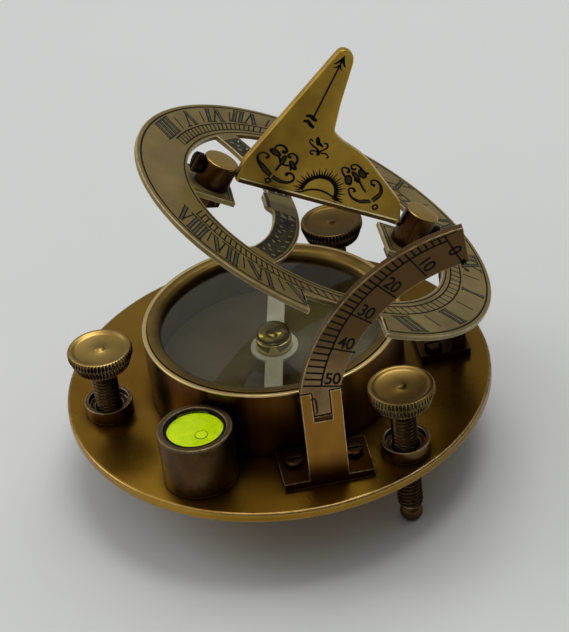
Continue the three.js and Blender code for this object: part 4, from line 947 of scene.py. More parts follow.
LEVEL_PIECES = (
    ("level_housing", cup_profile, level_centre, False, FINE_TURN, "dark_brass", cup_brass, ["level_cup"]),
    # The black ring is painted shade.
    ("level_gap_shade", gap_shade_profile, level_centre, True, FINE_TURN, "dark_brass", etch_black, []),
    ("level_glass", vial_profile, level_centre, False, FINE_TURN, "clear_glass", level_clear,
     ["level_vial"]),
    ("level_fluid", liquid_profile, level_centre, False, FINE_TURN, "level_liquid", level_green,
     ["level_liquid"]),
    ("air_bubble", bubble_profile, bubble_centre, False, BUBBLE_TURN, "level_liquid", bubble_pale, []),
    ("air_bubble_rim", bubble_rim, bubble_centre, True, BUBBLE_TURN, "level_liquid", bubble_edge, []),
)
for name, profile, centre, closed, facets, slot, material, stands_for in LEVEL_PIECES:
    add_piece(turned_mesh(name, profile, centre, closed=closed, facets=facets), "base", material,
              stands_for)
print("level centre", np.round(level_centre, 2))

# %% [markdown]
# Brackets, nuts and small screws already have their true shape in the engineering model. A merged copy is
# given bevelled edges, because no machined edge is perfectly sharp, and it stands in for the plain one.

# %% Softened brackets and fastenings


def softened(node, material, width):
    """A merged copy of an engineering piece with its flat triangles dissolved and its edges bevelled."""
    source = frame["nodes"][node]
    mesh = source.data.copy()
    mesh.name = f"{node}_finished"
    piece = add_piece(clean(mesh, from_solid=True), source["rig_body"], material, [node])
    bevel = piece.modifiers.new("eased edges", "BEVEL")
    bevel.width = width * MM
    bevel.segments = 2
    bevel.limit_method = "ANGLE"
    bevel.angle_limit = math.radians(SHARP_ANGLE)
    bevel.harden_normals = True


SOFT_COPIES = (
    (strip_brass, "aged_brass", 0.25, ["arc_bracket"]),
    (dark_brass, "aged_brass", 0.25, ["ring_hinge_bracket"]),
    (dark_brass, "aged_brass", 0.2, ["ring_hinge_leaf"]),
    (dark_brass, "dark_brass", 0.25, ["post_nut_morning", "post_nut_noon"]),
    (dark_brass, "dark_brass", 0.12, ["arc_bracket_screw_1", "arc_bracket_screw_2", "hinge_screw_1",
                                      "hinge_screw_2"]),
    (black_brass, "dark_brass", 0.12, ["gnomon_pivot_morning", "gnomon_pivot_noon"]),
)
for material, slot, width, nodes in SOFT_COPIES:
    for node in nodes:
        softened(node, material, width)
for shown in frame["nodes"].values():
    shown.data.materials.clear()
    shown.data.materials.append(dark_brass)
print("softened copies:", sum(len(row[3]) for row in SOFT_COPIES))

# %% [markdown]
# The hour ring is sawn from one sheet: the outer edge with a notch for the arc, and two windows divided by
# a curved cross bar. Each loop joins circle arcs whose ends are worked out where the circles meet. Windows
# could also be cut by a boolean, but an outline keeps their edges clean for the bevel.

# %% Hour ring
RING_OUTER = 44.8
RING_INNER = 32.2
RING_THICKNESS = 1.2
NOTCH = (-10.5, 8.0)
NOTCH_FLOOR = -37.5
WEB_CENTRE = -46.2
WEB_NOON_RADIUS = 41.1
WEB_MORNING_RADIUS = 34.7
WEB_POINTS = 80
PATCH_RADIUS = 32.9
PATCH_HALF_ANGLE = 5.6
TAB_HALF_WIDTH = 6.2
TAB_ENDS = (-21.65, 17.35)
RING_EDGE = 0.18


def degrees_of(x, y):
    """The direction of a point from the centre."""
    return math.degrees(math.atan2(y, x))


def crossing(radius):
    """Where the web's edge circle meets the ring's inner circle, on the far side."""
    x = (RING_INNER**2 - radius**2 + WEB_CENTRE**2) / (2 * WEB_CENTRE)
    return x, math.sqrt(RING_INNER**2 - x**2)


def window_loop(radius, side, tab_end):
    """Inner circle, tab, inner circle, then back along the web's edge."""
    x, y = crossing(radius)
    tab_angle = math.degrees(math.asin(TAB_HALF_WIDTH / RING_INNER))
    ring_angle = degrees_of(side * x, y)
    web_angle = degrees_of(x - WEB_CENTRE, y)
    upper = arc_points(RING_INNER, ring_angle, tab_angle, 48) * [side, 1]
    tab = [[tab_end, TAB_HALF_WIDTH], [tab_end, -TAB_HALF_WIDTH]]
    web = arc_points(radius, -web_angle, web_angle, WEB_POINTS, (WEB_CENTRE, 0))[1:-1]
    if radius == WEB_MORNING_RADIUS:
        turn = np.abs(np.linspace(-web_angle, web_angle, WEB_POINTS)[1:-1])
        inside = np.clip((PATCH_HALF_ANGLE + 1 - turn) / 2, 0, 1)[:, None]
        web = (web - (WEB_CENTRE, 0)) * (1 - inside * (1 - PATCH_RADIUS / radius)) + (WEB_CENTRE, 0)
    return np.concatenate([upper, tab, upper[::-1] * [1, -1], web])


notch_angles = [degrees_of(x, -math.sqrt(RING_OUTER**2 - x**2)) for x in NOTCH]
ring_loops = [
    np.concatenate([
        arc_points(RING_OUTER, notch_angles[1], 360 + notch_angles[0], 240),
        [[NOTCH[0], NOTCH_FLOOR], [NOTCH[1], NOTCH_FLOOR]],
    ]),
    window_loop(WEB_MORNING_RADIUS, -1, TAB_ENDS[0]),
    window_loop(WEB_NOON_RADIUS, 1, TAB_ENDS[1]),
]
ring_middle = RING_CENTRE - RING_THICKNESS / 2 * ring_z
ring_mesh = sheet_mesh("sawn_hour_ring", ring_loops, RING_THICKNESS, RING_EDGE, ring_middle, RING_AXES)
add_sheet(ring_mesh, "hour_ring", ring_brass, "hour_ring")
print("the ring is", 2 * RING_OUTER, "mm across, with faces:", len(ring_mesh.polygons))

# %% [markdown]
# The gnomon was sawn from thicker sheet with a fretsaw: a low plate whose edge sweeps up into a spire. Its
# outline is a table of shares of its length and height, so the shape stays the same at any size. Curves
# with handles could draw it too, but a few corners, each eased, are simpler to measure and to change.

# %% Gnomon
GNOMON_THICKNESS = 2
GNOMON_LENGTH = 41.3
GNOMON_START = -22.3
GNOMON_FOOT = 2.6
GNOMON_HEIGHT = 38.6
GNOMON_EDGE = 0.28
GNOMON_CORNER = 1.1
GNOMON_OUTLINE_SHARES = [
    [0, 0], [1, 0.04], [0.995, 0.08], [0.949, 0.187], [0.666, 0.378], [0.596, 0.412], [0.475, 0.446],
    [0.397, 0.49], [0.356, 0.668], [0.312, 0.94], [0.293, 0.987], [0.245, 1], [0.211, 0.984], [0, 0.14],
]
gnomon_loop = eased(
    np.array(GNOMON_OUTLINE_SHARES) * [GNOMON_LENGTH, GNOMON_HEIGHT] + [GNOMON_START, GNOMON_FOOT],
    reach=GNOMON_CORNER, closed=True,
)
gnomon_mesh = sheet_mesh("sawn_gnomon", [gnomon_loop], GNOMON_THICKNESS, GNOMON_EDGE, RING_CENTRE,
                         GNOMON_AXES)
add_sheet(gnomon_mesh, "gnomon", polished_brass, "gnomon")
print("the gnomon is", GNOMON_LENGTH, "mm long and", GNOMON_HEIGHT, "mm high")

# %% [markdown]
# The latitude arc is part of a flat ring centred on the hinge, so the ring's notch follows it at any tilt.
# A short tongue goes down into its bracket, where the pin holds it. Arc and tongue are one outline, because
# they were sawn as one piece.

# %% Latitude arc
ARC_OUTER = 44.15
ARC_INNER = 35.2
ARC_TOP = 83.5
ARC_THICKNESS = 1.9
ARC_EDGE = 0.2
ARC_FOOT_GAP = 0.3
TONGUE_HALF = 1.85
TONGUE_REACH = 6.4
strip_low, strip_high = node_box("arc_bracket")
arc_foot = strip_high[2] + ARC_FOOT_GAP - hinge[2]
tongue_middle = (strip_low[0] + strip_high[0]) / 2 - hinge[0]
foot_angles = [180 - math.degrees(math.asin(arc_foot / radius)) for radius in (ARC_OUTER, ARC_INNER)]
arc_loop = np.concatenate([
    arc_points(ARC_OUTER, foot_angles[0], 180 - ARC_TOP, 60),
    arc_points(ARC_INNER, 180 - ARC_TOP, foot_angles[1], 60),
    [
        [tongue_middle + TONGUE_HALF, arc_foot], [tongue_middle + TONGUE_HALF, arc_foot - TONGUE_REACH],
        [tongue_middle - TONGUE_HALF, arc_foot - TONGUE_REACH], [tongue_middle - TONGUE_HALF, arc_foot],
    ],
])
arc_mesh = sheet_mesh("graduated_arc", [arc_loop], ARC_THICKNESS, ARC_EDGE, ARC_CENTRE, ARC_AXES)
add_sheet(arc_mesh, "latitude_arc", arc_brass, "latitude_arc")
print("the arc is", round(ARC_OUTER - ARC_INNER, 2), "mm wide and", ARC_THICKNESS, "mm thick")

# %% [markdown]
# Engraved lines were cut and filled with black wax. Cutting each of them out of the brass would be slow and
# leave ragged faces, so here each line is a thin bar let into the brass, with its top a hair proud. A bar
# is a strip of stations: two edge points at each station, given a depth. Straight strokes, circle arcs,
# lens-shaped leaves and brush curves of changing width are all strips.

# %% Strips and inlays
INLAY_DEPTH = 0.12
INLAY_PROUD = 0.025
FILLING_PROUD = 0.04


def strokes(start, end, width, end_width=None):
    """Straight bars: both edges lie half a width to either side of the line from start to end."""
    start, end = np.broadcast_arrays(np.atleast_2d(start).astype(float), np.atleast_2d(end).astype(float))
    line = end - start
    normal = np.stack([-line[:, 1], line[:, 0]], axis=1) / np.linalg.norm(line, axis=1)[:, None] / 2
    first, last = normal * width, normal * (width if end_width is None else end_width)
    left = np.stack([start + first, end + last], axis=1)
    right = np.stack([start - first, end - last], axis=1)
    return np.stack([left, right], axis=2)


def circle_strip(radius, width, start, end, count=96, centre=(0, 0)):
    """Part of a ring: the same angles on a larger and on a smaller circle."""
    outer = arc_points(radius + width / 2, start, end, count, centre)
    inner = arc_points(radius - width / 2, start, end, count, centre)
    return np.stack([outer, inner], axis=1)[None]


def leaf(centre, length, width, degrees, power=1.0, count=13):
    """A lens along a direction: half-width = width / 2 * sin(t) ** power, where t runs from 0 to pi."""
    t = np.linspace(0, math.pi, count)
    lengthwise, half = -length / 2 * np.cos(t), width / 2 * np.sin(t) ** power
    turn = math.radians(degrees)
    forward = np.array([math.cos(turn), math.sin(turn)])
    sideways = np.array([-math.sin(turn), math.cos(turn)])
    middle = np.asarray(centre, float) + lengthwise[:, None] * forward
    return np.stack([middle + half[:, None] * sideways, middle - half[:, None] * sideways], axis=1)[None]


def brush(knots, count=40):
    """A Catmull-Rom curve through (x, y, width) knots, with its edges half a width to either side."""
    knots = np.asarray(knots, float)
    padded = np.concatenate([[2 * knots[0] - knots[1]], knots, [2 * knots[-1] - knots[-2]]])
    t = np.linspace(0, len(knots) - 1, count)
    i = np.minimum(t.astype(int), len(knots) - 2)
    f = (t - i)[:, None]
    a, b, c, d = (padded[i + k] for k in range(4))
    curve = 0.5 * (2 * b + (c - a) * f + (2 * a - 5 * b + 4 * c - d) * f**2 + (3 * b - a - 3 * c + d) * f**3)
    tangent = np.gradient(curve[:, :2], axis=0)
    normal = np.stack([-tangent[:, 1], tangent[:, 0]], axis=1) / np.linalg.norm(tangent, axis=1)[:, None]
    half = normal * curve[:, 2:] / 2
    return np.stack([curve[:, :2] + half, curve[:, :2] - half], axis=1)[None]


def inlay_mesh(name, strips, centre, axes, level, side=1, proud=INLAY_PROUD):
    """Four corners at each station, two below the surface and two above it, with both ends closed."""
    depth = np.array([level - side * INLAY_DEPTH] * 2 + [level + side * proud] * 2)
    points, faces, count = [], [], 0
    for batch in strips:
        bars, stations = batch.shape[:2]
        corners = batch[:, :, [0, 1, 1, 0]]
        heights = np.broadcast_to(depth[:, None], (bars, stations, 4, 1))
        points.append(np.concatenate([corners, heights], axis=3).reshape(-1, 3))
        last = 4 * stations
        caps = [[0, 1, 2, 3], [last - 1, last - 2, last - 3, last - 4]]
        one_bar = np.concatenate([grid_faces(stations, 4), caps])
        faces.append((one_bar + (last * np.arange(bars) + count)[:, None, None]).reshape(-1, 4))
        count += bars * last
    return new_mesh(name, placed(np.concatenate(points), centre, axes), np.concatenate(faces))


print("an inlay goes", INLAY_DEPTH, "mm down and stands", INLAY_PROUD, "mm proud")

# %% [markdown]
# The chapter ring counts the hours from noon at the hinge, down to four in the morning on one side and up to
# eight at night on the other. The sun's shadow turns 15 degrees an hour, so every line leans that way, while
# its foot follows the rim. The feet could be worked out from a latitude, but this scale has a spacing of
# its own, so the places of the hours are listed and those between them found by interpolation.

# %% Places on the hour scale
HOUR_PLACES = (0, 21.5, 45, 67.5, 88.5, 107, 120.5, 134, 149, 164)
SUN_SPEED = 15.0


def polar(radius, degrees):
    """The place at a distance from the centre, in a direction."""
    turn = np.radians(degrees)
    return np.stack([radius * np.cos(turn), radius * np.sin(turn)], axis=-1)


def hour_place(hour):
    """Where an hour stands round the ring, in degrees, with the afternoon on the near side."""
    return -np.sign(hour) * np.interp(np.abs(hour), np.arange(len(HOUR_PLACES)), HOUR_PLACES)


def hour_line(hour, radius, reach):
    """A line through a place on a circle, leaning at 15 degrees an hour, that spans a band of radii."""
    place = hour_place(hour)
    lean = -SUN_SPEED * hour - place
    step = polar(1, place + lean) * (reach / 2 / np.cos(np.radians(lean)))[..., None]
    return polar(radius, place) - step, polar(radius, place) + step


def hour_marks(hours, band, width):
    """Bars across a band of radii at these hours."""
    return strokes(*hour_line(hours, sum(band) / 2, band[1] - band[0]), width)


print("six in the evening stands", round(abs(float(hour_place(6))), 1), "degrees from noon")

# %% [markdown]
# A Roman numeral is only straight lines, so strokes draw it more simply than a font would, and each numeral
# can stand on the rim and lean along its hour line. It is read from outside. Its thick strokes are outlined
# in black and filled with grey, its thin strokes are black, and serifs close the open ends.

# %% Hour numerals
NUMERAL_MIDDLE = 40.15
NUMERAL_HEIGHT = 5.2
THICK = 1.1
FILLING = 0.55
THIN = 0.36
LETTER_WIDTHS = {"I": 1.85, "V": 3.9, "X": 3.9}
LETTER_REACH = 1.4
SERIF = 0.85


def letter(kind, u):
    """Thick lines, thin lines and serif middles of one Roman letter about u, with v from 0 to 1."""
    if kind == "I":
        return [((u, 0), (u, 1))], [], [(u, 0), (u, 1)]
    low, high = u - LETTER_REACH, u + LETTER_REACH
    if kind == "V":
        return [((low, 1), (u, 0))], [((high, 1), (u, 0))], [(low, 1), (high, 1)]
    return [((low, 1), (high, 0))], [((high, 1), (low, 0))], [(low, 0), (high, 0), (low, 1), (high, 1)]


def numeral(word, hour):
    """The letters side by side: u runs along the rim and v up the hour line."""
    widths = np.array([LETTER_WIDTHS[kind] for kind in word])
    middles = np.cumsum(widths) - widths / 2 - widths.sum() / 2
    outer, inner = hour_line(np.array(float(hour)), NUMERAL_MIDDLE, -NUMERAL_HEIGHT)
    rimward = polar(1, hour_place(hour) + 90)
    thick, thin = [], []
    for kind, u in zip(word, middles):
        bold, fine, feet = letter(kind, u)
        thick += bold
        thin += fine + [((x - SERIF, v), (x + SERIF, v)) for x, v in feet]

    def bars(lines, width):
        start, end = (np.array(column, float) for column in zip(*lines))
        carried = [outer + p[:, :1] * rimward + p[:, 1:] * (inner - outer) for p in (start, end)]
        return strokes(*carried, width)

    return bars(thick, THICK), bars(thin, THIN), bars(thick, FILLING)


print("the longest numeral is", round(sum(LETTER_WIDTHS[kind] for kind in "VIII"), 2), "mm wide")

# %% [markdown]
# Between the numerals and the inner edge runs a track like a ladder, with a rung for every ten minutes, and
# longer marks between the numerals show the half hours. Noon is in both lists and is written once. Four in
# the afternoon would stand in the notch, so it and the half hours beside it are left out.

# %% Hour scale
AFTERNOON = ("XII", "I", "II", "III", "IIII", "V", "VI", "VII", "VIII")
MORNING = ("XII", "XI", "X", "IX", "VIII", "VII", "VI", "V", "IIII")
LADDER = (34.2, 36.75)
LADDER_WIDTH = 0.34
LADDER_POINTS = 200
TICKS = (37.6, 41.8)
TICK_WIDTH = 0.3
FRAME_WIDTH = 0.36
SCALE_END = 8.3
SIXTHS = 6
NOTCH_LINES = ((8.5, -42.6), (-11.0, -42.0))
NOTCH_LINE_END = -37.8
INNER_LINE = (33.0, 0.32, 0, 360, 240)
OUTER_LINE = (43.6, 0.42, -78, 255, 240)
written = [numeral(word, -hour) for hour, word in enumerate(MORNING)]
written += [numeral(word, hour) for hour, word in enumerate(AFTERNOON) if hour not in (0, 4)]
half_hours = np.array([t + 0.5 for t in range(-8, 8) if t not in (3, 4)])
divisions = np.arange(-SCALE_END * SIXTHS, SCALE_END * SIXTHS + 1) / SIXTHS
last_place = float(hour_place(-SCALE_END))
ring_lines = [
    *[bars for word in written for bars in word[:2]],
    hour_marks(half_hours, TICKS, TICK_WIDTH),
    hour_marks(divisions, LADDER, LADDER_WIDTH),
    *[circle_strip(radius, FRAME_WIDTH, -last_place, last_place, LADDER_POINTS) for radius in LADDER],
    circle_strip(*INNER_LINE),
    circle_strip(*OUTER_LINE),
    *[strokes([(x, y)], [(x, NOTCH_LINE_END)], FRAME_WIDTH) for x, y in NOTCH_LINES],
]
add_piece(inlay_mesh("hour_numerals", ring_lines, RING_CENTRE, RING_AXES, 0), "hour_ring",
          etch_black)
fillings = [word[2] for word in written]
add_piece(inlay_mesh("numeral_fillings", fillings, RING_CENTRE, RING_AXES, 0, proud=FILLING_PROUD),
          "hour_ring", etched_grey)
print("numerals written:", len(written), "divisions:", len(divisions))

# %% [markdown]
# The cross bar is etched dark between plain borders, with rows of small leaves left standing. The tabs that
# carry the posts have a double frame. Every leaf has only a few dozen faces, because there are many of them.

# %% Etched cross bar and tabs
BAND_MIDDLE = 37.6
BAND_WIDTH = 5.1
BAND_ENDS = (6.2, 41.0)
BAND_POINTS = 60
BORDER_GAP = 0.5
BORDER_WIDTH = 0.2
PATCH_BAND = (PATCH_RADIUS + 0.75, 0.9, -5.4, 5.4, 24)
LEAF_ROWS = ((36.6, 50), (39.2, -50))
LEAF_STEP = 4.4
LEAF_ANGLES = np.arange(12.5, 40, LEAF_STEP)
LEAF_SIZE = (1.15, 0.42)
MIDDLE_LEAF_SIZE = (0.9, 0.4)
END_LEAF_SIZE = (1.8, 0.5)
END_LEAF_RADII = (36.9, 38.9)
END_LEAF_ANGLE = 8.6
END_LEAF_SHIFT = (0, 0.4)
END_LEAF_LEAN = 60
END_LEAF_FORK = 50
END_LEAF_POWER = 0.8
LEAF_PROUD = 0.06
FRAME_INSETS = (0.6, 1.3)
FRAME_ROOT = 31.6
FRAME_LINE = 0.24
web_middle = np.array([WEB_CENTRE, 0])


def on_web(radius, degrees):
    """A place on a circle about the web's own centre."""
    return polar(radius, degrees) + web_middle


def web_strips(radius, width):
    """The same strip on both halves of the cross bar."""
    return [circle_strip(radius, width, side * BAND_ENDS[0], side * BAND_ENDS[1], BAND_POINTS, web_middle)
            for side in (-1, 1)]


bands = web_strips(BAND_MIDDLE, BAND_WIDTH) + [circle_strip(*PATCH_BAND, web_middle)]
leaves = []
for side in (-1, 1):
    for step, degrees in enumerate(LEAF_ANGLES):
        for radius, lean in LEAF_ROWS:
            leaves.append(leaf(on_web(radius, side * degrees), *LEAF_SIZE, side * (degrees + 90) + lean))
        if step % 2:
            middle = on_web(BAND_MIDDLE, side * (degrees + LEAF_STEP / 2))
            leaves.append(leaf(middle, *MIDDLE_LEAF_SIZE, side * degrees))
    for radius in END_LEAF_RADII:
        middle, lean = on_web(radius, side * END_LEAF_ANGLE), side * END_LEAF_LEAN
        leaves += [leaf(middle + END_LEAF_SHIFT, *END_LEAF_SIZE, lean, END_LEAF_POWER),
                   leaf(middle - END_LEAF_SHIFT, *END_LEAF_SIZE, lean + END_LEAF_FORK, END_LEAF_POWER)]
frames = []
for inset in FRAME_INSETS:
    for end, root in ((TAB_ENDS[0] - inset, -FRAME_ROOT), (TAB_ENDS[1] + inset, FRAME_ROOT)):
        side_y = TAB_HALF_WIDTH - inset
        frames += [
            strokes([[end, -side_y]], [[end, side_y]], FRAME_LINE),
            strokes([[end, -side_y], [end, side_y]], [[root, -side_y], [root, side_y]], FRAME_LINE),
        ]
borders = web_strips(BAND_MIDDLE + BAND_WIDTH / 2 + BORDER_GAP, BORDER_WIDTH)
for name, strips, proud, slot, material in (
    ("etched_bands", bands, INLAY_PROUD, "dial_face", band_dark),
    ("raised_leaves", leaves, LEAF_PROUD, "ring_brass", worn_brass),
    ("tab_frames", frames + borders, INLAY_PROUD, "dial_face", etch_black),
):
    add_piece(inlay_mesh(name, strips, RING_CENTRE, RING_AXES, 0, proud=proud), "hour_ring", material)
print("raised leaves:", len(leaves))

# %% [markdown]
# The gnomon carries traditional engraving: leafy scrolls and flowers to the left and right, a rising sun
# over a hill, and an arrow up the spire. A graver's cut swells and thins, so most lines are brush curves
# through a few knots, each a place and a width. The petals and leaves are lenses. All is drawn flat, as on
# paper, and carried onto the face at the end.

# %% Scrolls and flowers on the gnomon
FINE_BRUSH = 90
left_crescent = [
    (-18.0, 10.5, 0.8), (-17.5, 11.0, 0.6), (-18.0, 11.5, 0.4), (-18.9, 11.65, 0.4), (-19.8, 11.1, 0.45),
    (-19.9, 10.2, 0.55), (-19.2, 9.2, 0.8), (-18.0, 8.4, 1.2), (-16.6, 7.5, 1.35), (-15.2, 6.8, 1.1),
    (-13.6, 6.25, 1.0), (-12.0, 6.0, 0.9), (-10.4, 6.3, 0.7), (-9.6, 7.2, 0.6), (-9.95, 8.2, 0.5),
    (-11.0, 8.65, 0.6), (-11.75, 8.2, 0.8), (-11.3, 7.9, 0.7),
]
right_crescent = [
    (9.1, 12.0, 0.8), (8.2, 12.1, 0.5), (7.7, 12.8, 0.45), (8.4, 13.3, 0.45), (9.6, 13.0, 0.5),
    (10.7, 11.9, 0.75), (11.2, 10.5, 1.0), (10.7, 9.1, 1.25), (9.8, 7.9, 1.0), (8.4, 7.35, 1.1),
    (7.2, 7.05, 0.8), (5.6, 7.3, 0.6), (4.4, 8.1, 0.5), (3.7, 9.1, 0.45), (4.1, 9.7, 0.45), (4.9, 9.5, 0.6),
    (5.3, 8.9, 0.8),
]
left_flower = [
    brush([(-17.0, 13.2, 0.45), (-16.9, 14.2, 0.5), (-15.8, 14.65, 0.55), (-14.7, 14.3, 0.6),
           (-14.15, 13.6, 0.7), (-14.6, 13.1, 0.7), (-15.2, 13.5, 0.8)]),
    brush([(-12.5, 12.6, 0.8), (-13.1, 12.4, 0.6), (-13.35, 13.0, 0.5), (-12.5, 13.5, 0.5),
           (-11.4, 13.1, 0.55), (-10.8, 12.1, 0.6), (-10.9, 11.1, 0.7)]),
    brush([(-15.6, 12.1, 0.5), (-15.0, 11.4, 0.5), (-14.4, 10.6, 0.5)]),
    brush([(-13.8, 10.3, 0.5), (-12.9, 10.2, 0.5), (-12.0, 10.4, 0.5)]),
    leaf((-16.5, 12.5), 3.3, 1.5, -16, 0.8), leaf((-14.0, 11.3), 2.7, 1.4, 88, 0.9),
    leaf((-11.3, 10.7), 3.0, 1.3, -37, 0.8), leaf((-11.5, 10.1), 1.7, 0.7, -70, 0.8),
]
right_flower = [
    brush([(1.5, 11.9, 0.5), (0.5, 12.6, 0.5), (-0.2, 13.6, 0.45), (0.3, 14.1, 0.45), (1.3, 14.0, 0.5),
           (1.7, 13.4, 0.7), (1.2, 13.2, 0.6)]),
    brush([(3.0, 14.5, 0.7), (2.0, 14.3, 0.5), (1.56, 15.1, 0.45), (2.4, 15.6, 0.45), (3.6, 15.3, 0.5),
           (4.6, 14.5, 0.6)]),
    brush([(5.0, 12.0, 0.5), (6.3, 10.8, 0.5), (7.8, 9.7, 0.45)]),
    leaf((2.5, 11.4), 2.8, 1.9, -55, 0.8), leaf((3.3, 10.9), 1.6, 0.7, -80, 0.8),
    leaf((3.7, 12.9), 3.2, 1.2, -28, 0.8), leaf((4.4, 11.9), 1.8, 0.9, -20, 0.8),
    leaf((4.9, 13.9), 2.9, 1.7, -35, 0.8), leaf((5.7, 14.3), 1.4, 0.6, 20, 0.8),
]
small_flower = [
    brush([(-9.5, 17.9, 0.4), (-10.3, 18.2, 0.35), (-10.2, 17.5, 0.35), (-9.0, 16.8, 0.45),
           (-7.8, 16.4, 0.5), (-7.2, 15.8, 0.6)]),
    brush([(-7.0, 18.3, 0.4), (-6.2, 18.3, 0.45), (-5.8, 17.5, 0.45), (-6.3, 16.7, 0.45),
           (-6.9, 16.1, 0.5)]),
    brush([(-7.0, 15.8, 0.45), (-8.2, 15.8, 0.4), (-9.0, 15.5, 0.4), (-8.8, 14.9, 0.4), (-8.1, 14.8, 0.45)]),
    brush([(-6.6, 15.7, 0.45), (-5.4, 15.9, 0.35), (-4.5, 15.3, 0.35), (-4.9, 14.9, 0.35)]),
    leaf((-8.5, 18.3), 2.3, 1.0, -62, 0.8), leaf((-7.6, 17.7), 1.9, 0.7, -25, 0.8),
    leaf((-7.1, 15.5), 1.4, 0.9, 90, 0.8),
]
print("strips in the flowers:", len(left_flower + right_flower + small_flower))

# %% [markdown]
# The sun is half a ring with straight rays, long and short in turn, that grow thinner outwards, and the hill
# is one curve. The arrow is a long stroke with a pointed head, barbs, and two waves at its foot. A small
# diamond stands low on each side.

# %% Sun and arrow on the gnomon
SUN = (-2.7, 6.1)
RAYS = 31
RAY_ENDS = (-14, 196)
RAY_LENGTHS = (6.35, 5.5)
SUN_EDGE = (4.15, 1.0, -8, 188, 60)
RAY_FOOT = 4.45
RAY_WIDTHS = (0.46, 0.16)
ray_angles = np.linspace(*RAY_ENDS, RAYS)
ray_reach = np.array(RAY_LENGTHS)[np.arange(RAYS) % 2][:, None]
sun = [
    circle_strip(*SUN_EDGE, SUN),
    strokes(polar(RAY_FOOT, ray_angles) + SUN, polar(1, ray_angles) * ray_reach + SUN, *RAY_WIDTHS),
    brush([(-6.9, 4.8, 0.4), (-5.4, 5.9, 0.5), (-4.2, 6.45, 0.5), (-2.8, 6.75, 0.5), (-1.2, 6.7, 0.5),
           (0.8, 6.2, 0.45), (3.8, 5.35, 0.3)]),
]
ARROW_X = -12.1
arrow = [
    strokes([[ARROW_X, 23.4]], [[ARROW_X, 38.2]], 0.42),
    strokes([[ARROW_X, 39.9]], [[ARROW_X, 38.1]], 0.1, 1.7),
    brush([(-13.5, 37.3, 0.2), (-12.9, 37.8, 0.5), (ARROW_X, 38.8, 0.6), (-11.3, 37.8, 0.5),
           (-10.7, 37.3, 0.2)]),
    brush([(-13.2, 36.3, 0.15), (-12.6, 36.7, 0.35), (ARROW_X, 37.4, 0.5), (-11.6, 36.7, 0.35),
           (-11.0, 36.3, 0.15)]),
    brush([(-13.9, 23.3, 0.6), (-12.9, 23.6, 0.85), (-12.0, 23.2, 0.9), (-11.0, 22.9, 0.7)]),
    brush([(-13.9, 21.9, 0.6), (-12.9, 22.2, 0.85), (-12.0, 21.6, 0.9), (-10.9, 21.1, 0.7)]),
]
DIAMOND_LINE = 0.42


def diamond(x, y, reach):
    """Four strokes round a point, joining the places at one distance above, below and beside it."""
    corners = np.array([(x - reach, y), (x, y + reach), (x + reach, y), (x, y - reach)])
    return strokes(corners, np.roll(corners, -1, axis=0), DIAMOND_LINE)


gnomon_lines = [
    brush(left_crescent, FINE_BRUSH), brush(right_crescent, FINE_BRUSH),
    diamond(-15.1, 5.3, 0.75), diamond(11.6, 6.8, 0.75),
    brush([(-14.5, 8.2, 0.5), (-14.3, 9.2, 0.6), (-14.1, 10.1, 0.6)]),
    *left_flower, *right_flower, *small_flower, *sun, *arrow,
]
print("strips in the gnomon's drawing:", len(gnomon_lines))

# %% [markdown]
# Both faces carry the drawing, in layers. The wide cuts keep some olive filling, two stems cross the
# crescents in bare brass, and along the foot a dark strip of painted shade lies under a bright strip that is
# a painted highlight on the arris. Each layer stands a hair prouder than the one below it, so no two
# surfaces lie in one plane.

# %% Layers on the gnomon's faces
engraving_fillings = [
    brush([(-18.4, 8.7, 0.2), (-16.6, 7.5, 0.75), (-15.2, 6.8, 0.5), (-13.6, 6.25, 0.45), (-12.0, 6.0, 0.4),
           (-10.4, 6.3, 0.2)]),
    brush([(10.9, 11.4, 0.2), (11.2, 10.5, 0.45), (10.7, 9.1, 0.65), (9.8, 7.9, 0.45), (8.4, 7.35, 0.5),
           (7.0, 7.05, 0.2)]),
    leaf((-14.0, 11.3), 1.9, 0.7, 88), leaf((-16.4, 12.5), 2.1, 0.8, -16),
    leaf((-11.5, 10.8), 1.8, 0.6, -37), leaf((2.5, 11.4), 1.8, 1.1, -55),
    leaf((4.8, 13.9), 1.9, 0.9, -35), leaf((3.7, 12.9), 2.1, 0.5, -28),
]
stems = [strokes([[-14.9, 6.0], [10.9, 7.4]], [[-14.55, 7.9], [8.7, 9.1]], 0.36)]
FOOT_INSET = 0.9
foot_start = np.array([GNOMON_START + FOOT_INSET, GNOMON_FOOT])
foot_end = np.array([GNOMON_START + GNOMON_LENGTH - FOOT_INSET,
                     GNOMON_FOOT + GNOMON_OUTLINE_SHARES[1][1] * GNOMON_HEIGHT])


def foot_line(height, width):
    """A line along the gnomon's foot, at a height above its edge."""
    return strokes(foot_start + [0, height], foot_end + [0, height], width)


FACE_LAYERS = (
    ("gnomon_engraving", gnomon_lines, INLAY_PROUD, "dial_face", etch_black),
    ("engraving_fillings", engraving_fillings, FILLING_PROUD, "dial_face", etched_olive),
    ("engraving_stems", stems, 0.06, "dial_face", polished_brass),
    # A dark strip of painted shade along the foot, and a painted highlight on the arris above it.
    ("shaded_foot", [foot_line(0.55, 0.95)], 0.03, "polished_brass", dark_brass),
    ("painted_arris_highlight", [foot_line(1.22, 0.4)], 0.09, "polished_brass", arris_highlight_brass),
)
for face_name, side in (("near", 1), ("far", -1)):
    for name, strips, proud, slot, material in FACE_LAYERS:
        mesh = inlay_mesh(f"{name}_{face_name}", strips, RING_CENTRE, GNOMON_AXES,
                          side * GNOMON_THICKNESS / 2, side, proud)
        add_piece(mesh, "gnomon", material)
print("layers on each face:", len(FACE_LAYERS))

# %% [markdown]
# The arc's scale runs from fifty at the bottom to nought at the top. It was engraved about a centre of its
# own, so the track of divisions grows narrower upwards. Each ten degrees has a long line with its figure on
# it, and its place, length and lean are listed. The divisions between are found by interpolation.

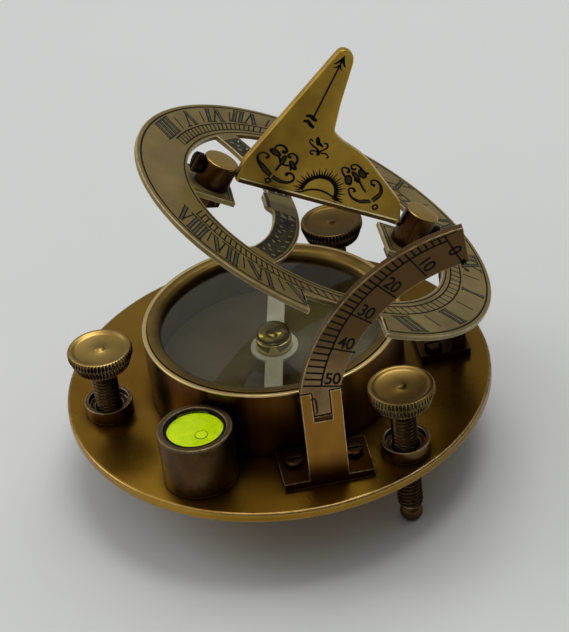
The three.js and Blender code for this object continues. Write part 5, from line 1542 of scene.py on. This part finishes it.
# %% Arc graduations
DECADES = (13.7, 28.1, 41.6, 53.8, 66.2, 78.4)
TRACK_RADII = (39.7, 40.1, 40.8, 41.2, 41.9, 42.2)
SCALE_LEANS = (12.8, 23.5, 38.5, 47.0, 56.6, 65.5)
TRACK_OUTER = 43.75
LINE_LENGTHS = (4.9, 5.4, 5.5, 5.6, 6.0, 7.2)
DIVISIONS = 6
TRACK_LINE = 0.42
RUNG_LINE = 0.48
SCALE_LINE_POINTS = 120
END_LINE = ([[-6.4, 43.3]], [[-12.6, 41.7]], 0.3)
STAR_SHIFT = (0.1, 0.5)
STAR_LEAF = (1.7, 0.6)
STAR_TURNS = (15, 75, 135)
STAR_POWER = 0.8


def on_arc(radius, degrees):
    """Angles on the arc rise from the horizontal on the morning side of the hinge."""
    return polar(radius, 180 - np.asarray(degrees, float))


decade = np.arange(len(DECADES))
fine = np.arange(DIVISIONS * (len(DECADES) - 1) + 1) / DIVISIONS
fine_angles = np.interp(fine, decade, DECADES)
fine_leans = np.interp(fine, decade, SCALE_LEANS)
track_feet = on_arc(1, fine_angles) * np.interp(fine, decade, TRACK_RADII)[:, None]
rung_slant = np.cos(np.radians(fine_angles - fine_leans))
rung_length = (TRACK_OUTER - np.linalg.norm(track_feet, axis=1)) / rung_slant
rung_tips = track_feet + polar(1, 180 - fine_leans) * rung_length[:, None]
line_feet = track_feet[::DIVISIONS]
inward = -polar(1, 180 - np.array(SCALE_LEANS))
upward = np.stack([-inward[:, 1], inward[:, 0]], axis=1)
line_ends = line_feet + inward * np.array(LINE_LENGTHS)[:, None]
star = line_ends[-1] + STAR_SHIFT
tongue_slit = [
    (-41.2, 6.1, 0.3), (-40.6, 6.4, 0.36), (-40.15, 5.8, 0.4), (-40.05, 4.2, 0.4), (-40.05, 2.6, 0.36),
    (-40.5, 2.1, 0.3),
]
arc_lines = [
    strokes(track_feet, rung_tips, RUNG_LINE),
    strokes(line_feet, line_ends, TRACK_LINE),
    brush(np.column_stack([track_feet, np.full(len(track_feet), TRACK_LINE)]), SCALE_LINE_POINTS),
    strokes(*END_LINE),
    *[leaf(star, *STAR_LEAF, turn, STAR_POWER) for turn in STAR_TURNS],
    brush(tongue_slit),
]
arc_level = ARC_THICKNESS / 2
add_piece(inlay_mesh("arc_scale", arc_lines, ARC_CENTRE, ARC_AXES, arc_level), "latitude_arc",
          etch_black)
print("divisions on the arc:", len(fine))

# %% [markdown]
# The figures name the latitudes. Strokes could draw them, as on the hour ring, but these have curves, so
# they are text turned into a mesh, made a little heavier, narrowed and laid on the arc.

# %% Arc figures
LABELS = ("50", "40", "30", "20", "10", "0")
LABEL_SHIFTS = ((2.3, 1.85), (2.7, 1.85), (2.8, 1.85), (2.75, 1.9), (3.6, 1.85), (3.15, 0))
FIGURE_HEIGHT = 3.3
FONT_SIZE = 1.4 * FIGURE_HEIGHT
FONT_WEIGHT = 0.09
FONT_SPACING = 0.94
FONT_SHAPE = (0.82, 0.92, 1)


def figure_mesh(name, word, centre, degrees, level):
    """A figure as a solid of its own, centred on a point of the arc's drawing plane and turned on it."""
    curve = bpy.data.curves.new(name, "FONT")
    curve.body = word
    curve.size = FONT_SIZE
    curve.align_x = "CENTER"
    curve.align_y = "CENTER"
    curve.extrude = INLAY_DEPTH
    curve.offset = FONT_WEIGHT
    curve.space_character = FONT_SPACING
    turn = math.radians(degrees)
    spun = np.array([[math.cos(turn), math.sin(turn), 0], [-math.sin(turn), math.cos(turn), 0], [0, 0, 1]])
    middle = [*centre, level + INLAY_PROUD - INLAY_DEPTH]
    return reshaped(settled(in_scene(name, curve), name),
                    lambda points: placed(points * FONT_SHAPE @ spun + middle, ARC_CENTRE, ARC_AXES))


shifts = np.array(LABEL_SHIFTS)
figure_middles = line_feet + inward * shifts[:, :1] + upward * shifts[:, 1:]
for word, middle, lean in zip(LABELS, figure_middles, SCALE_LEANS):
    add_piece(figure_mesh(f"arc_figure_{word}", word, middle, -lean, arc_level), "latitude_arc",
              etch_black)
print("figures on the arc:", len(LABELS))

# %% [markdown]
# Two posts stand on the ring's tabs and hold the gnomon's pivots. Each is turned about its own axis, with a
# shank that goes down through the tab into its nut. The hinge pin and the rivets are too small to gain from
# a finer surface, so they stay as the engineering model has them.

# %% Posts
POST_RADIUS = 4.05
SHANK_RADIUS = 1.9
SHANK_END = -5.0
TAB_GAP = 0.02
POST_PLACES = {"morning": (-26.752, 6.3), "noon": (23.448, 8.8)}
for side, (x, height) in POST_PLACES.items():
    post_profile = eased([
        [0, SHANK_END], [SHANK_RADIUS, SHANK_END], [SHANK_RADIUS, TAB_GAP], [POST_RADIUS, TAB_GAP],
        [POST_RADIUS, height], [0, height],
    ], reach=0.4)
    mesh = turned_mesh(f"turned_post_{side}", post_profile, RING_CENTRE + x * ring_x, RING_AXES,
                       facets=SMALL_TURN)
    add_piece(mesh, "hour_ring", post_brass, [f"gnomon_post_{side}"])
print("posts stand", [height for x, height in POST_PLACES.values()], "mm high")

# %% [markdown]
# The instrument stands on a plain pale floor under soft studio light. Polished brass shows what stands round
# it, so the studio is a smooth world, bright overhead and to the left, with two soft lamps for the shadows.

# %% Floor and light
FLOOR_REACH = 3.0
LAMPS = {"key": ((0.15, 0.2, 0.9), 0.6, 3.4), "side": ((-0.75, 0.35, 0.55), 0.5, 1.4)}
LAMP_TARGET = (0, 0, 0.03)
STUDIO = (("Z", 0.42, 1.0, 0.44), ("X", 0.2, -0.95, 0.32), ("Y", -0.5, 1.0, 0.2))
STUDIO_BASE = 0.05
STUDIO_TONE = (1.0, 0.995, 0.97, 1)


def add_floor():
    """One square face at the height of the feet."""
    mesh = bpy.data.meshes.new("floor")
    corner_shares = np.array([(-1, -1, 0), (1, -1, 0), (1, 1, 0), (-1, 1, 0)])
    mesh.from_pydata(corner_shares * FLOOR_REACH, [], [(0, 1, 2, 3)])
    mesh.materials.append(painted("floor_paper", (221, 223, 223), (216, 218, 218), 0.85, cloud=4,
                                  bump_strength=0.0))
    in_scene("floor", mesh)


def add_lamp(name, place, size, power):
    """A round soft lamp that looks at the instrument."""
    light = bpy.data.lights.new(name, "AREA")
    light.shape = "DISK"
    light.size = size
    light.energy = power
    lamp = in_scene(name, light)
    lamp.location = place
    aim = mathutils.Vector(LAMP_TARGET) - mathutils.Vector(place)
    lamp.rotation_euler = aim.to_track_quat("-Z", "Y").to_euler()


def add_world():
    """The light of a direction is a base and one smooth ramp along each axis, added up."""
    world = bpy.data.worlds.new("studio")
    bpy.context.scene.world = world
    world.use_nodes = True
    split = add_node(world, "ShaderNodeSeparateXYZ")
    wire(world, whereabouts(world, "Generated"), split.inputs["Vector"])
    total = None
    for axis, low, high, strength in STUDIO:
        ramp = add_node(world, "ShaderNodeMapRange", From_Min=low, From_Max=high, To_Max=strength)
        ramp.interpolation_type = "SMOOTHSTEP"
        wire(world, split.outputs[axis], ramp.inputs["Value"])
        brighter = add_node(world, "ShaderNodeMath", "ADD")
        brighter.inputs[1].default_value = STUDIO_BASE
        wire(world, ramp.outputs["Result"], brighter.inputs[0])
        if total:
            wire(world, total, brighter.inputs[1])
        total = brighter.outputs["Value"]
    background = world.node_tree.nodes["Background"]
    background.inputs["Color"].default_value = STUDIO_TONE
    wire(world, total, background.inputs["Strength"])


add_floor()
for name, (place, size, power) in LAMPS.items():
    add_lamp(name, place, size, power)
add_world()
print("lamps:", len(LAMPS), "and a studio world with ramps along", [row[0] for row in STUDIO])

# %% [markdown]
# The camera's height, heading, roll and distance were solved from the circles of the plate, the drum and the
# knobs. It is placed by three unit vectors, so that the plate's centre falls on its own pixel.

# %% Camera
FOCAL = 131.0
ELEVATION = math.radians(35.67)
ROLL = math.radians(-6.84)
HEADING = math.radians(5.92)
DISTANCE = 551.5
PICTURE_FOCUS = 2300
PLATE_PIXEL = (-6.28, 58.47)
SENSOR = 36
CLIP = (0.01, 20)


def add_camera():
    """The plate's centre falls on its own pixel, seen from the photograph's height, heading and roll."""
    back = np.array([0, -math.cos(ELEVATION), math.sin(ELEVATION)])
    right = np.array([1.0, 0, 0])
    up = np.array([0, math.sin(ELEVATION), math.cos(ELEVATION)])
    right, up = (
        math.cos(ROLL) * right + math.sin(ROLL) * up,
        -math.sin(ROLL) * right + math.cos(ROLL) * up,
    )
    sideways = PLATE_PIXEL[0] / PICTURE_FOCUS * DISTANCE
    upwards = -PLATE_PIXEL[1] / PICTURE_FOCUS * DISTANCE
    offset = sideways * right + upwards * up - DISTANCE * back
    heading = np.array([[math.cos(HEADING), -math.sin(HEADING), 0],
                        [math.sin(HEADING), math.cos(HEADING), 0], [0, 0, 1]])
    place = (PLATE_CENTRE - offset @ heading) * MM
    axes = np.array([right, up, back]) @ heading
    camera = in_scene("camera", bpy.data.cameras.new("camera"))
    camera.data.lens = FOCAL
    camera.data.sensor_fit = "VERTICAL"
    camera.data.sensor_height = SENSOR
    camera.data.sensor_width = SENSOR
    camera.data.clip_start, camera.data.clip_end = CLIP
    matrix = np.eye(4)
    matrix[:3, :3] = axes.T
    matrix[:3, 3] = place
    camera.matrix_world = mathutils.Matrix(matrix.tolist())
    bpy.context.scene.camera = camera
    return place


print("the camera stands at", np.round(add_camera(), 3), "m")
bpy.context.scene.view_settings.view_transform = "Standard"
